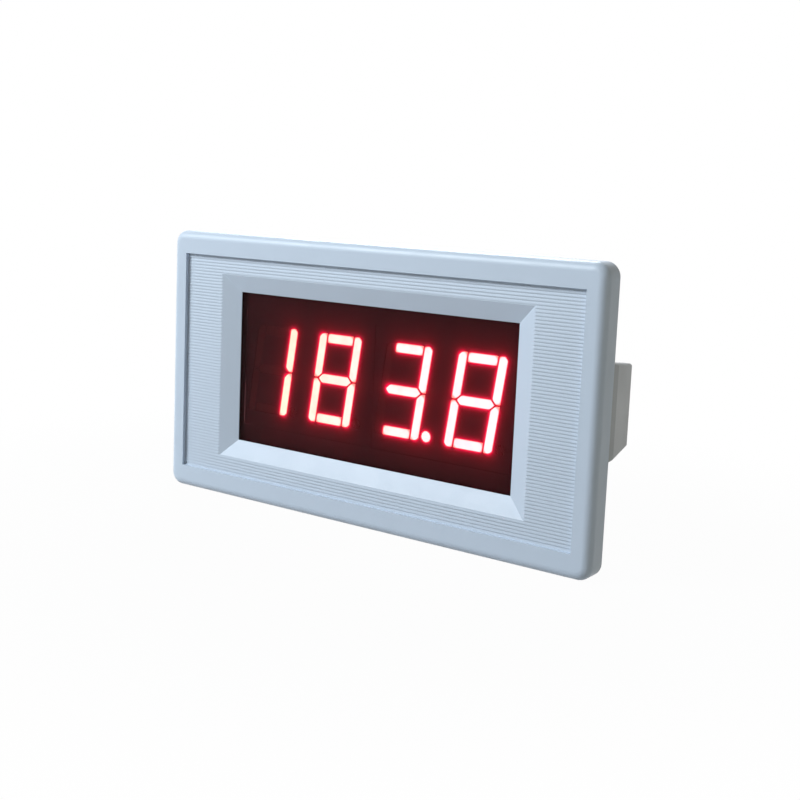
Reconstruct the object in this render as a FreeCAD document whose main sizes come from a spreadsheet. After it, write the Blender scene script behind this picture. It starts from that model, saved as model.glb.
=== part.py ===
import FreeCAD, Part
import math
import os
import Sketcher
from FreeCAD import Vector

os.makedirs("parts", exist_ok=True)
doc = FreeCAD.newDocument("digital_panel_meter")

# Driving sizes in millimetres, angles in degrees
SIZES = {
    # Bezel flange, rim and ribbed field
    "bezel_width": 79.0,
    "bezel_height": 43.0,
    "flange_thickness": 3.8,
    "flange_corner_radius": 2.1,
    "front_edge_radius": 1.3,
    "rim_side": 2.9,
    "rim_top": 3.65,
    "field_sink": 0.6,
    "rib_pitch": 0.5,
    "rib_groove_width": 0.38,
    "rib_groove_depth": 0.14,
    # Window and its mitred bevel
    "window_width": 51.6,
    "window_height": 24.4,
    "window_depth": 2.0,
    "window_lip": 0.1,
    "bevel_side": 3.25,
    "bevel_top": 3.05,
    "face_wall": 2.6,
    # Locating collar that enters the panel cut-out
    "collar_width": 75.4,
    "collar_height": 38.4,
    "collar_depth": 2.4,
    "collar_wall": 1.4,
    "collar_corner_radius": 1.5,
    # Snap arms
    "arm_root_height": 14.4,
    "arm_tip_height": 12.0,
    "arm_lift": 0.7,
    "arm_length": 10.9,
    "arm_side_slot": 0.8,
    "arm_neck": 1.2,
    "arm_tip_wall": 1.4,
    "arm_land_proud": 0.8,
    "arm_tip_inset": 0.4,
    "arm_relief_depth": 0.3,
    "arm_relief_gap": 0.2,
    "panel_room": 1.6,
    "shoulder_run": 0.3,
    "land_end": 4.0,
    "arm_edge_radius": 0.4,
    # Red filter and the low frame that locates it
    "filter_overlap": 2.0,
    "filter_thickness": 1.0,
    "filter_clearance": 0.1,
    "filter_chamfer": 0.2,
    "filter_frame_wall": 0.8,
    "filter_frame_height": 0.9,
    # Display modules
    "module_width": 25.3,
    "module_height": 19.0,
    "module_thickness": 8.0,
    "module_spacing": 25.65,
    "module_standoff": 1.8,
    "module_back_wall": 0.8,
    "module_back_recess": 0.4,
    "digit_pitch": 12.7,
    "digit_shift": -0.55,
    "digit_height": 14.2,
    "digit_width": 8.2,
    "digit_lean": 0.14,
    "segment_width": 1.45,
    "segment_gap": 0.2,
    "segment_corner": 0.5,
    "segment_depth": 0.5,
    "point_diameter": 1.7,
    "point_offset": 4.5,
    "display_pins_a_row": 9,
    "display_pin_pitch": 2.54,
    "display_pin_rows": 15.24,
    "display_pin_size": 0.5,
    "display_pin_projection": 0.35,
    # Circuit board and the screws that hold it
    "board_width": 66.0,
    "board_height": 36.0,
    "board_thickness": 1.6,
    "post_spacing_x": 60.0,
    "post_spacing_z": 30.0,
    "post_diameter": 5.0,
    "post_bore": 2.2,
    "post_bore_depth": 7.5,
    "post_rib_wall": 1.0,
    "post_rib_height": 6.0,
    "screw_clearance_hole": 2.9,
    "screw_shank": 2.1,
    "screw_length": 8.0,
    "screw_head_diameter": 4.8,
    "screw_head_height": 1.6,
    "screw_slot_width": 0.7,
    "screw_slot_depth": 0.8,
    "pin_projection": 1.1,
    "pin_hole": 0.9,
    # Dual in-line chips
    "chip_pitch": 2.54,
    "chip_standoff": 0.6,
    "chip_thickness": 3.6,
    "chip_draft": 7.0,
    "chip_notch_radius": 1.0,
    "chip_notch_depth": 0.4,
    "chip_notch_inset": 0.2,
    "chip_lead_width": 1.3,
    "chip_leg_width": 0.5,
    "chip_lead_sheet": 0.25,
    "converter_leads_a_row": 20,
    "converter_rows": 15.24,
    "converter_length": 52.0,
    "converter_width": 13.8,
    "converter_z": 4.2,
    "pump_leads_a_row": 4,
    "pump_rows": 7.62,
    "pump_length": 9.6,
    "pump_width": 6.4,
    "pump_x": -17.9,
    "pump_z": -10.9,
    # Axial resistors
    "resistor_pitch_x": 13.0,
    "resistor_z": 14.9,
    "resistor_diameter": 2.3,
    "resistor_waist": 2.0,
    "resistor_length": 6.3,
    "resistor_cap_length": 1.4,
    "resistor_count": 4,
    "resistor_bend": 0.8,
    "resistor_span": 10.16,
    "resistor_wire": 0.6,
    "resistor_rise": 0.3,
    # Box film capacitors
    "film_x": 22.6,
    "film_z": -13.0,
    "film_pitch": 3.3,
    "film_length": 7.2,
    "film_width": 2.5,
    "film_height": 6.5,
    "film_corner": 0.3,
    "film_lead_span": 5.08,
    "film_lead": 0.6,
    "film_rise": 0.5,
    "film_count": 3,
    # Electrolytic capacitor
    "can_x": -28.4,
    "can_z": -7.2,
    "can_diameter": 6.3,
    "can_height": 7.0,
    "can_crimp_height": 1.2,
    "can_crimp_depth": 0.3,
    "can_crimp_width": 0.8,
    "can_edge_bevel": 0.4,
    "can_lead_span": 2.5,
    "can_lead": 0.6,
    "can_rise": 0.2,
    # Trimmer with a slotted adjuster
    "trimmer_x": 15.2,
    "trimmer_z": -11.4,
    "trimmer_side": 6.6,
    "trimmer_height": 4.8,
    "trimmer_chamfer": 0.8,
    "trimmer_foot": 0.3,
    "trimmer_foot_side": 1.2,
    "trimmer_bore": 3.6,
    "adjuster_clearance": 0.05,
    "adjuster_thickness": 1.3,
    "adjuster_recess": 0.15,
    "adjuster_slot_width": 0.6,
    "adjuster_slot_depth": 0.6,
    "trimmer_pins": 3,
    "trimmer_pin_pitch": 2.54,
    "trimmer_pin": 0.5,
    # Screw terminal block
    "poles": 4,
    "pole_pitch": 5.08,
    "block_wall": 0.15,
    "block_depth": 8.6,
    "block_height": 10.4,
    "block_front_chamfer": 1.3,
    "block_back_chamfer": 0.6,
    "block_roof": 1.4,
    "chamber_width": 4.4,
    "chamber_front_wall": 0.9,
    "chamber_back_wall": 1.2,
    "entry_width": 3.4,
    "entry_low": 1.5,
    "entry_high": 4.9,
    "entry_funnel": 0.35,
    "screw_well": 4.0,
    # Rising clamp, its screw and the fixed contact
    "clamp_side_gap": 0.15,
    "clamp_end_gap": 0.2,
    "clamp_length": 4.6,
    "clamp_low": 1.0,
    "clamp_floor": 0.8,
    "clamp_throat_gap": 0.05,
    "clamp_throat": 3.9,
    "clamp_roof": 0.9,
    "clamp_corner": 0.3,
    "thread_diameter": 3.0,
    "thread_clearance": 0.05,
    "terminal_head_diameter": 3.8,
    "terminal_head_height": 1.1,
    "terminal_head_sink": 0.2,
    "terminal_head_edge": 0.2,
    "terminal_slot_width": 0.7,
    "terminal_slot_depth": 0.7,
    "contact_top": 5.5,
    "contact_sheet": 0.7,
    "contact_width": 2.2,
    "contact_tip_gap": 0.1,
    "contact_wall_gap": 0.05,
    "contact_pin_width": 1.0,
    "contact_pin_hole": 1.5,
}

sheet = doc.addObject("Spreadsheet::Sheet", "Size")
for row, (alias, amount) in enumerate(SIZES.items(), start=1):
    sheet.set(f"A{row}", alias)
    sheet.set(f"B{row}", str(amount))
    sheet.setAlias(f"B{row}", alias)
doc.recompute()


class Length:
    """A size as a sheet formula, with the number that the formula gives now."""

    def __init__(self, formula, number):
        self.formula = formula
        self.number = number

    def __add__(self, other):
        other = as_length(other)
        return Length(f"({self.formula} + {other.formula})", self.number + other.number)

    def __sub__(self, other):
        other = as_length(other)
        return Length(f"({self.formula} - {other.formula})", self.number - other.number)

    def __mul__(self, other):
        other = as_length(other)
        return Length(f"({self.formula} * {other.formula})", self.number * other.number)

    def __truediv__(self, other):
        other = as_length(other)
        return Length(f"({self.formula} / {other.formula})", self.number / other.number)

    def __neg__(self):
        return self * -1

    __radd__ = __add__
    __rmul__ = __mul__


def as_length(value):
    """The value itself if it is a Length, or a plain number as one."""
    return value if isinstance(value, Length) else Length(str(value), value)


def size(alias):
    """The named size from the sheet."""
    return Length(f"Size.{alias}", float(sheet.get(alias)))


# Depths along Y, from the panel's front face at zero: the viewer is at -Y
FRONT = -size("flange_thickness")
FIELD = FRONT + size("field_sink")
WINDOW_EDGE = FRONT + size("window_depth")
FILTER_FRONT = WINDOW_EDGE + size("window_lip")
FACE_BACK = FRONT + size("face_wall")
FILTER_BACK = FILTER_FRONT + size("filter_thickness")
DISPLAY_FRONT = FILTER_BACK + size("filter_clearance")
DISPLAY_BACK = DISPLAY_FRONT + size("module_thickness")
BOARD_FRONT = DISPLAY_BACK + size("module_standoff")
BOARD_BACK = BOARD_FRONT + size("board_thickness")

# Widths and heights that several pieces share
FIELD_WIDTH = size("bezel_width") - 2 * size("rim_side")
FIELD_HEIGHT = size("bezel_height") - 2 * size("rim_top")
COLLAR_INNER_WIDTH = size("collar_width") - 2 * size("collar_wall")
COLLAR_INNER_HEIGHT = size("collar_height") - 2 * size("collar_wall")
ARM_NECK = COLLAR_INNER_WIDTH / 2 + size("arm_neck")
ARM_LAND = ARM_NECK + size("arm_land_proud")
FILTER_WIDTH = size("window_width") + 2 * size("filter_overlap")
FILTER_HEIGHT = size("window_height") + 2 * size("filter_overlap")
FILTER_SEAT_WIDTH = FILTER_WIDTH + 2 * size("filter_clearance")
FILTER_SEAT_HEIGHT = FILTER_HEIGHT + 2 * size("filter_clearance")
BLOCK_WIDTH = size("poles") * size("pole_pitch") + 2 * size("block_wall")
BLOCK_LOW = size("board_height") / -2
FIRST_POLE = (size("poles") - 1) * size("pole_pitch") / -2
TERMINAL_REACH = size("chamber_front_wall") + size("clamp_end_gap") + size("clamp_length") / 2
TERMINAL_Z = BLOCK_LOW + TERMINAL_REACH
CHAMBER_DEPTH = size("block_height") - size("block_roof")
CHAMBER_LENGTH = size("block_depth") - size("chamber_front_wall") - size("chamber_back_wall")
CONTACT_BACK = size("block_depth") - size("chamber_back_wall") - size("contact_wall_gap") - TERMINAL_REACH
THROUGH_BOARD = size("board_thickness") + size("pin_projection")
LEFT_MODULE = size("module_spacing") / -2
RIGHT_MODULE = size("module_spacing") / 2

# How many of each repeated thing there are
POLES = int(size("poles").number)
RESISTORS = int(size("resistor_count").number)
FILM_CAPACITORS = int(size("film_count").number)
DISPLAY_PINS = int(size("display_pins_a_row").number)
CONVERTER_LEADS = int(size("converter_leads_a_row").number)
PUMP_LEADS = int(size("pump_leads_a_row").number)
TRIMMER_PINS = int(size("trimmer_pins").number)
LIGHT_SIDES = 12

# How far a wire's edges meet past the start of a slanted bend, as a share of half the wire
SLANT_INSET = math.tan(math.pi / 8)

nodes = []


def keep(item, name):
    """List an object as a finished sub-part under its node name."""
    item.Label = name
    nodes.append(item)
    return item


def new_body(name):
    """An empty body, listed as the sub-part of that name."""
    return keep(doc.addObject("PartDesign::Body", name), name)


def bind(item, **paths):
    """Tie properties to lengths, with a double underscore for each dot in a property's path."""
    for path, length in paths.items():
        item.setExpression(path.replace("__", "."), as_length(length).formula)


def stand(body, across=0, depth=0, height=0):
    """Place a body by its own origin: across is X, depth is Y and height is Z."""
    bind(body, Placement__Base__x=across, Placement__Base__y=depth, Placement__Base__z=height)


def datum(body, role):
    """One of a body's own origin planes or axes."""
    return next(feature for feature in body.Origin.OriginFeatures if feature.Role == role)


def new_sketch(body, role, right=0, up=0, out=0):
    """A sketch on an origin plane of the body, moved within the plane and along its normal."""
    sketch = body.newObject("Sketcher::SketchObject", f"{body.Name}_sketch")
    sketch.AttachmentSupport = [(datum(body, role), "")]
    sketch.MapMode = "FlatFace"
    bind(sketch, AttachmentOffset__Base__x=right, AttachmentOffset__Base__y=up)
    bind(sketch, AttachmentOffset__Base__z=out)
    return sketch


def constrain(sketch, length, kind, *places):
    """Add a dimension that follows a length."""
    index = sketch.addConstraint(Sketcher.Constraint(kind, *places, length.number))
    sketch.renameConstraint(index, f"{kind}{index}")
    sketch.setExpression(f"Constraints.{kind}{index}", length.formula)


def draw_rectangle(sketch, width, height):
    """A rectangle centred on the sketch's origin."""
    half_width = as_length(width).number / 2
    half_height = as_length(height).number / 2
    corners = [(-half_width, -half_height), (half_width, -half_height),
               (half_width, half_height), (-half_width, half_height)]
    first = draw_loop(sketch, corners)
    sketch.addConstraint(Sketcher.Constraint("Horizontal", first))
    sketch.addConstraint(Sketcher.Constraint("Horizontal", first + 2))
    sketch.addConstraint(Sketcher.Constraint("Vertical", first + 1))
    sketch.addConstraint(Sketcher.Constraint("Vertical", first + 3))
    sketch.addConstraint(Sketcher.Constraint("Symmetric", first, 1, first + 1, 2, -1, 1))
    constrain(sketch, as_length(width), "DistanceX", first, 1, first, 2)
    constrain(sketch, as_length(height), "DistanceY", first + 1, 1, first + 1, 2)


def draw_loop(sketch, corners):
    """Straight lines through the corners, joined end to end and closed."""
    first = sketch.GeometryCount
    count = len(corners)
    for start, end in zip(corners, corners[1:] + corners[:1]):
        sketch.addGeometry(Part.LineSegment(Vector(*start, 0), Vector(*end, 0)), False)
    for step in range(count):
        following = first + (step + 1) % count
        sketch.addConstraint(Sketcher.Constraint("Coincident", first + step, 2, following, 1))
    return first


def draw_outline(sketch, corners):
    """A closed outline whose corners are pairs of lengths from the sketch's origin."""
    pairs = [(as_length(right), as_length(up)) for right, up in corners]
    first = draw_loop(sketch, [(right.number, up.number) for right, up in pairs])
    for step, (right, up) in enumerate(pairs):
        for kind, length in (("DistanceX", right), ("DistanceY", up)):
            constrain(sketch, length, kind, -1, 1, first + step, 1)


def draw_circle(sketch, diameter):
    """A circle about the sketch's origin."""
    index = sketch.addGeometry(Part.Circle(Vector(0, 0, 0), Vector(0, 0, 1), diameter.number / 2), False)
    sketch.addConstraint(Sketcher.Constraint("Coincident", index, 3, -1, 1))
    constrain(sketch, diameter, "Diameter", index)


def draw_light_circle(sketch, diameter):
    """A small circle about the sketch's origin as a few straight sides, for what repeats many times."""
    radius = diameter / 2
    turns = [2 * math.pi * (step + 0.5) / LIGHT_SIDES for step in range(LIGHT_SIDES)]
    draw_outline(sketch, [(radius * math.cos(turn), radius * math.sin(turn)) for turn in turns])


def extrude(body, kind, sketch, length, reverse=False, both=False, draft=None):
    """Pad or pocket a sketch: reverse turns it round, both centres it on the sketch's plane."""
    feature = body.newObject(f"PartDesign::{kind}", f"{body.Name}_{kind.lower()}")
    feature.Profile = sketch
    feature.Reversed = reverse
    bind(feature, Length=length)
    if both:
        feature.SideType = "Symmetric"
    if draft is not None:
        bind(feature, TaperAngle=draft)
    sketch.Visibility = False
    doc.recompute()
    return feature


def pad(body, sketch, length, **options):
    """Add material from a sketch."""
    return extrude(body, "Pad", sketch, length, **options)


def pocket(body, sketch, length, **options):
    """Remove material from a sketch."""
    return extrude(body, "Pocket", sketch, length, **options)


def repeat(body, features, axis, count, pitch):
    """Copy features in a row along an origin axis."""
    pattern = body.newObject("PartDesign::LinearPattern", f"{body.Name}_pattern")
    pattern.Originals = features
    pattern.Direction = (datum(body, axis), [""])
    pattern.Mode = "Spacing"
    pattern.Occurrences = count
    bind(pattern, Offset=pitch)
    body.Tip = pattern
    doc.recompute()
    return pattern


def mirror_step(body, plane):
    """A mirror across an origin plane, for use in combine."""
    step = doc.addObject("PartDesign::Mirrored", f"{body.Name}_mirror")
    step.MirrorPlane = (datum(body, plane), [""])
    return step


def row_step(body, axis, count, pitch):
    """A row along an origin axis, for use in combine."""
    step = doc.addObject("PartDesign::LinearPattern", f"{body.Name}_row")
    step.Direction = (datum(body, axis), [""])
    step.Mode = "Spacing"
    step.Occurrences = count
    bind(step, Offset=pitch)
    return step


def combine(body, features, steps):
    """Copy features through several mirrors and rows, one after another."""
    transform = body.newObject("PartDesign::MultiTransform", f"{body.Name}_copies")
    transform.Originals = features
    transform.Transformations = steps
    body.Tip = transform
    doc.recompute()
    return transform


def spread(body, features, columns, column_pitch, rows, row_pitch):
    """Copy features over a grid of columns along X and rows along Z."""
    steps = [row_step(body, "X_Axis", columns, column_pitch), row_step(body, "Z_Axis", rows, row_pitch)]
    return combine(body, features, steps)


def revolve(body, sketch, axis):
    """A full turn of a sketch about an origin axis."""
    feature = body.newObject("PartDesign::Revolution", f"{body.Name}_turning")
    feature.Profile = sketch
    feature.ReferenceAxis = (datum(body, axis), [""])
    sketch.Visibility = False
    doc.recompute()
    return feature


def edges_where(feature, test):
    """Names of the feature's edges whose two ends and middle all pass the test."""
    names = []
    for index, edge in enumerate(feature.Shape.Edges, start=1):
        middle = edge.valueAt((edge.FirstParameter + edge.LastParameter) / 2)
        points = [vertex.Point for vertex in edge.Vertexes] + [middle]
        if all(test(point) for point in points):
            names.append(f"Edge{index}")
    return names


def round_edges(body, feature, radius, test):
    """Round the edges that pass the test."""
    rounding = body.newObject("PartDesign::Fillet", f"{body.Name}_round")
    rounding.Base = (feature, edges_where(feature, test))
    bind(rounding, Radius=radius)
    doc.recompute()
    return rounding


def bevel_edges(body, feature, width, test):
    """Chamfer the edges that pass the test."""
    chamfer = body.newObject("PartDesign::Chamfer", f"{body.Name}_chamfer")
    chamfer.Base = (feature, edges_where(feature, test))
    bind(chamfer, Size=width)
    doc.recompute()
    return chamfer


def near(value, target):
    """Whether a coordinate sits at a length."""
    return abs(value - as_length(target).number) < 1e-4


def at_corner(point, width, height):
    """Whether a point stands over a corner of a rectangle centred on the origin, seen along Y."""
    return near(abs(point.x), width / 2) and near(abs(point.z), height / 2)


def box_pad(body, width, height, start, length, draft=None, **place):
    """A block centred on Y that runs back from a depth."""
    sketch = new_sketch(body, "XZ_Plane", out=-as_length(start), **place)
    draw_rectangle(sketch, width, height)
    return pad(body, sketch, length, reverse=True, draft=draft)


def round_pad(body, diameter, start, length, **place):
    """A round rod along Y that runs back from a depth."""
    sketch = new_sketch(body, "XZ_Plane", out=-as_length(start), **place)
    draw_circle(sketch, diameter)
    return pad(body, sketch, length, reverse=True)


def box_pocket(body, width, height, start, length, **place):
    """A rectangular pocket centred on Y, cut back from a depth."""
    sketch = new_sketch(body, "XZ_Plane", out=-as_length(start), **place)
    draw_rectangle(sketch, width, height)
    return pocket(body, sketch, length)


def round_pocket(body, diameter, start, length, **place):
    """A round pocket along Y, cut back from a depth."""
    sketch = new_sketch(body, "XZ_Plane", out=-as_length(start), **place)
    draw_circle(sketch, diameter)
    return pocket(body, sketch, length)


def square_pad(body, width, start, length, **place):
    """A square rod along Y that runs back from a depth."""
    return box_pad(body, width, width, start, length, **place)


def square_pocket(body, width, start, length, **place):
    """A square pocket along Y, cut back from a depth."""
    return box_pocket(body, width, width, start, length, **place)


# Bezel moulding
def make_flange(body):
    """The flange with its rounded corners and front edge."""
    width, height = size("bezel_width"), size("bezel_height")
    plate = box_pad(body, width, height, FRONT, size("flange_thickness"))
    corners = round_edges(body, plate, size("flange_corner_radius"),
                          lambda point: at_corner(point, width, height))
    round_edges(body, corners, size("front_edge_radius"), lambda point: near(point.y, FRONT))


def make_ribs(body):
    """The fine grooves that leave the field's ribs standing."""
    count = math.floor(FIELD_HEIGHT.number / size("rib_pitch").number)
    lowest = (count - 1) * size("rib_pitch") / -2
    sketch = new_sketch(body, "YZ_Plane", up=lowest)
    half = size("rib_groove_width") / 2
    draw_outline(sketch, [(FIELD, -half), (FIELD + size("rib_groove_depth"), 0), (FIELD, half)])
    groove = pocket(body, sketch, FIELD_WIDTH, both=True)
    repeat(body, [groove], "Z_Axis", count, size("rib_pitch"))


def make_window(body):
    """The sunk field, the mitred bevel round the window, and the window through the face."""
    box_pocket(body, FIELD_WIDTH, FIELD_HEIGHT, FRONT, size("field_sink"))
    half_width, half_height = size("window_width") / 2, size("window_height") / 2
    bevel = body.newObject("PartDesign::SubtractiveWedge", f"{body.Name}_bevel")
    bind(bevel, Ymin=FIELD, Ymax=WINDOW_EDGE)
    bind(bevel, Xmin=-half_width - size("bevel_side"), Xmax=half_width + size("bevel_side"))
    bind(bevel, Zmin=-half_height - size("bevel_top"), Zmax=half_height + size("bevel_top"))
    bind(bevel, X2min=-half_width, X2max=half_width, Z2min=-half_height, Z2max=half_height)
    doc.recompute()
    box_pocket(body, size("window_width"), size("window_height"), WINDOW_EDGE, size("face_wall"))


def make_collar(body):
    """The collar that enters the cut-out, hollow to the face, with the moulding relief behind each arm."""
    width, height = size("collar_width"), size("collar_height")
    ring = box_pad(body, width, height, 0, size("collar_depth"))
    round_edges(body, ring, size("collar_corner_radius"),
                lambda point: at_corner(point, width, height) and point.y > -1e-4)
    box_pocket(body, COLLAR_INNER_WIDTH, COLLAR_INNER_HEIGHT, FACE_BACK, size("collar_depth") - FACE_BACK)
    slot_height = size("arm_root_height") + 2 * size("arm_side_slot")
    slot = new_sketch(body, "YZ_Plane", right=size("collar_depth"), up=size("arm_lift"))
    draw_rectangle(slot, 2 * size("collar_depth"), slot_height)
    pocket(body, slot, size("bezel_width"), both=True)
    relief = 2 * (ARM_LAND + size("arm_relief_gap"))
    box_pocket(body, relief, slot_height, -size("arm_relief_depth"), size("arm_relief_depth"),
               up=size("arm_lift"))


def make_filter_seat(body):
    """The shallow seat and low frame that locate the filter."""
    box_pocket(body, FILTER_SEAT_WIDTH, FILTER_SEAT_HEIGHT, FILTER_FRONT, size("face_wall"))
    frame = new_sketch(body, "XZ_Plane", out=-FACE_BACK)
    draw_rectangle(frame, FILTER_SEAT_WIDTH, FILTER_SEAT_HEIGHT)
    draw_rectangle(frame, FILTER_SEAT_WIDTH + 2 * size("filter_frame_wall"),
                   FILTER_SEAT_HEIGHT + 2 * size("filter_frame_wall"))
    pad(body, frame, size("filter_frame_height"), reverse=True)


def make_posts(body):
    """Four posts for the board, each with a rib to the collar and a screw bore."""
    across = size("post_spacing_x") / -2
    down = size("post_spacing_z") / -2
    post = new_sketch(body, "XZ_Plane", right=across, up=down, out=-FACE_BACK)
    draw_circle(post, size("post_diameter"))
    column = pad(body, post, BOARD_FRONT - FACE_BACK, reverse=True)
    reach = (COLLAR_INNER_WIDTH - size("post_spacing_x")) / 2
    web = new_sketch(body, "XZ_Plane", right=across - reach / 2, up=down, out=-FACE_BACK)
    draw_rectangle(web, reach, size("post_rib_wall"))
    rib = pad(body, web, size("post_rib_height") / 2, reverse=True)
    drop = (COLLAR_INNER_HEIGHT - size("post_spacing_z")) / 2
    brace = new_sketch(body, "XZ_Plane", right=across, up=down - drop / 2, out=-FACE_BACK)
    draw_rectangle(brace, size("post_rib_wall"), drop)
    strut = pad(body, brace, size("post_rib_height") / 2, reverse=True)
    spread(body, [column], 2, size("post_spacing_x"), 2, size("post_spacing_z"))
    combine(body, [rib, strut], [mirror_step(body, "YZ_Plane"), mirror_step(body, "XY_Plane")])
    bore = new_sketch(body, "XZ_Plane", right=across, up=down, out=-BOARD_FRONT)
    draw_circle(bore, size("post_bore"))
    hole = pocket(body, bore, size("post_bore_depth"), reverse=True)
    spread(body, [hole], 2, size("post_spacing_x"), 2, size("post_spacing_z"))


def make_snap_arms(body):
    """One springy arm on each short side, with a shoulder behind the panel and a ramp to its tip."""
    inner, root_depth = COLLAR_INNER_WIDTH / 2, -size("arm_relief_depth")
    tip = ARM_NECK - size("arm_tip_inset")
    length, lift = size("arm_length"), size("arm_lift")
    profile = new_sketch(body, "XY_Plane", out=lift)
    side = [(inner, root_depth), (ARM_NECK, root_depth), (ARM_NECK, size("panel_room")),
            (ARM_LAND, size("panel_room") + size("shoulder_run")), (ARM_LAND, size("land_end")),
            (tip, length), (tip - size("arm_tip_wall"), length)]
    draw_outline(profile, side)
    draw_outline(profile, [(-across, depth) for across, depth in side])
    pad(body, profile, size("arm_root_height"), both=True)
    root, end = size("arm_root_height") / 2, size("arm_tip_height") / 2
    taper = new_sketch(body, "YZ_Plane", up=lift)
    draw_outline(taper, [(0, root), (length, end), (length, root)])
    draw_outline(taper, [(0, -root), (length, -end), (length, -root)])
    cut = pocket(body, taper, size("bezel_width"), both=True)
    shoulder = (size("panel_room") + size("shoulder_run")).number

    def on_outer_side(point):
        slope = root.number + (end.number - root.number) * point.y / length.number
        outside = abs(point.x) > tip.number - 1e-3 and point.y > shoulder - 1e-3
        return outside and abs(abs(point.z - lift.number) - slope) < 1e-3

    round_edges(body, cut, size("arm_edge_radius"), on_outer_side)


def make_front_bezel():
    """The whole bezel moulding."""
    body = new_body("front_bezel")
    make_flange(body)
    make_window(body)
    make_collar(body)
    make_filter_seat(body)
    make_posts(body)
    make_snap_arms(body)
    make_ribs(body)


def make_filter_window():
    """The smoked red filter that lies behind the window."""
    body = new_body("filter_window")
    plate = box_pad(body, FILTER_WIDTH, FILTER_HEIGHT, FILTER_FRONT, size("filter_thickness"))
    bevel_edges(body, plate, size("filter_chamfer"), lambda point: near(point.y, FILTER_BACK))


# Display modules and their light windows
def segment_outlines():
    """Each segment's corners from the digit's centre, leaning to the right."""
    half_width, half_height = size("digit_width") / 2, size("digit_height") / 2
    bar, gap = size("segment_width"), size("segment_gap")
    inner = half_width - bar
    tip = half_width - bar / 2 - gap
    end = inner - gap
    side = [(half_width, half_height), (half_width, gap / 2), (half_width - bar / 2, gap / 2),
            (inner, bar / 2 + gap / 2), (inner, half_height)]
    crossbar = [(end, half_height - bar), (end, half_height), (-end, half_height), (-end, half_height - bar)]
    middle = [(tip, 0), (end, bar / 2), (-end, bar / 2), (-tip, 0), (-end, bar / -2), (end, bar / -2)]
    upright = {
        "a": crossbar,
        "b": side,
        "c": [(across, -up) for across, up in side],
        "d": [(across, -up) for across, up in crossbar],
        "e": [(-across, -up) for across, up in side],
        "f": [(-across, up) for across, up in side],
        "g": middle,
    }
    lean = size("digit_lean")
    return {name: [(across + lean * up, up) for across, up in corners]
            for name, corners in upright.items()}


def at_digit_corner(point, across):
    """Whether a point stands on one of a digit's four outer corners, seen along Y."""
    half_width, half_height = size("digit_width") / 2, size("digit_height") / 2
    lean = size("digit_lean").number * point.z
    return near(abs(point.z), half_height) and near(abs(point.x - across - lean), half_width)


def draw_segments(sketch, names):
    """Outlines of the named segments."""
    for name, corners in segment_outlines().items():
        if name in names:
            draw_outline(sketch, corners)


def point_sketch(body, across):
    """The outline of a digit's decimal point."""
    diameter = size("point_diameter")
    sketch = new_sketch(body, "XZ_Plane", right=across + size("point_offset"),
                        up=(diameter - size("digit_height")) / 2)
    draw_light_circle(sketch, diameter)
    return sketch


def make_module(name, across):
    """A block that carries two digits, with a well for each segment and a potted back."""
    body = new_body(name)
    stand(body, across, DISPLAY_FRONT)
    box_pad(body, size("module_width"), size("module_height"), 0, size("module_thickness"))
    wall = 2 * size("module_back_wall")
    box_pocket(body, size("module_width") - wall, size("module_height") - wall,
               size("module_thickness") - size("module_back_recess"), size("module_back_recess"))
    first = size("digit_pitch") / -2 + size("digit_shift")
    wells = new_sketch(body, "XZ_Plane", right=first)
    draw_segments(wells, "abcdefg")
    cut = pocket(body, wells, size("segment_depth"))
    point = pocket(body, point_sketch(body, first), size("segment_depth"))
    copies = repeat(body, [cut, point], "X_Axis", 2, size("digit_pitch"))
    other = first + size("digit_pitch")
    bevel_edges(body, copies, size("segment_corner"),
                lambda spot: at_digit_corner(spot, first.number) or at_digit_corner(spot, other.number))


def make_segments(name, module, digits, points):
    """Light windows of one colour: digits and points count a module's digits from 0 on the left."""
    body = new_body(name)
    stand(body, module, DISPLAY_FRONT)
    for digit, names in digits.items():
        across = size("digit_pitch") * (digit - 0.5) + size("digit_shift")
        sketch = new_sketch(body, "XZ_Plane", right=across)
        draw_segments(sketch, names)
        windows = pad(body, sketch, size("segment_depth"), reverse=True)
        bevel_edges(body, windows, size("segment_corner"),
                    lambda spot, centre=across.number: at_digit_corner(spot, centre))
    for digit in points:
        across = size("digit_pitch") * (digit - 0.5) + size("digit_shift")
        pad(body, point_sketch(body, across), size("segment_depth"), reverse=True)


def make_module_pins(name, across):
    """Two rows of pins from a module's potted back through the board."""
    body = new_body(name)
    start = size("module_back_recess")
    stand(body, across, DISPLAY_BACK - start)
    length = start + size("module_standoff") + size("board_thickness") + size("display_pin_projection")
    pitch, rows = size("display_pin_pitch"), size("display_pin_rows")
    pin = box_pad(body, size("display_pin_size"), size("display_pin_size"), 0, length,
                  right=(DISPLAY_PINS - 1) * pitch / -2, up=rows / -2)
    spread(body, [pin], DISPLAY_PINS, pitch, 2, rows)


# Circuit board
def drill(body, width, count, pitch, rows, row_pitch, across, up, cut=square_pocket):
    """Rows of holes centred on a place on the board."""
    first = across - (count - 1) * pitch / 2
    lowest = up - (rows - 1) * row_pitch / 2
    hole = cut(body, width, 0, size("board_thickness"), right=first, up=lowest)
    if rows > 1:
        spread(body, [hole], count, pitch, rows, row_pitch)
    else:
        repeat(body, [hole], "X_Axis", count, pitch)


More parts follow.
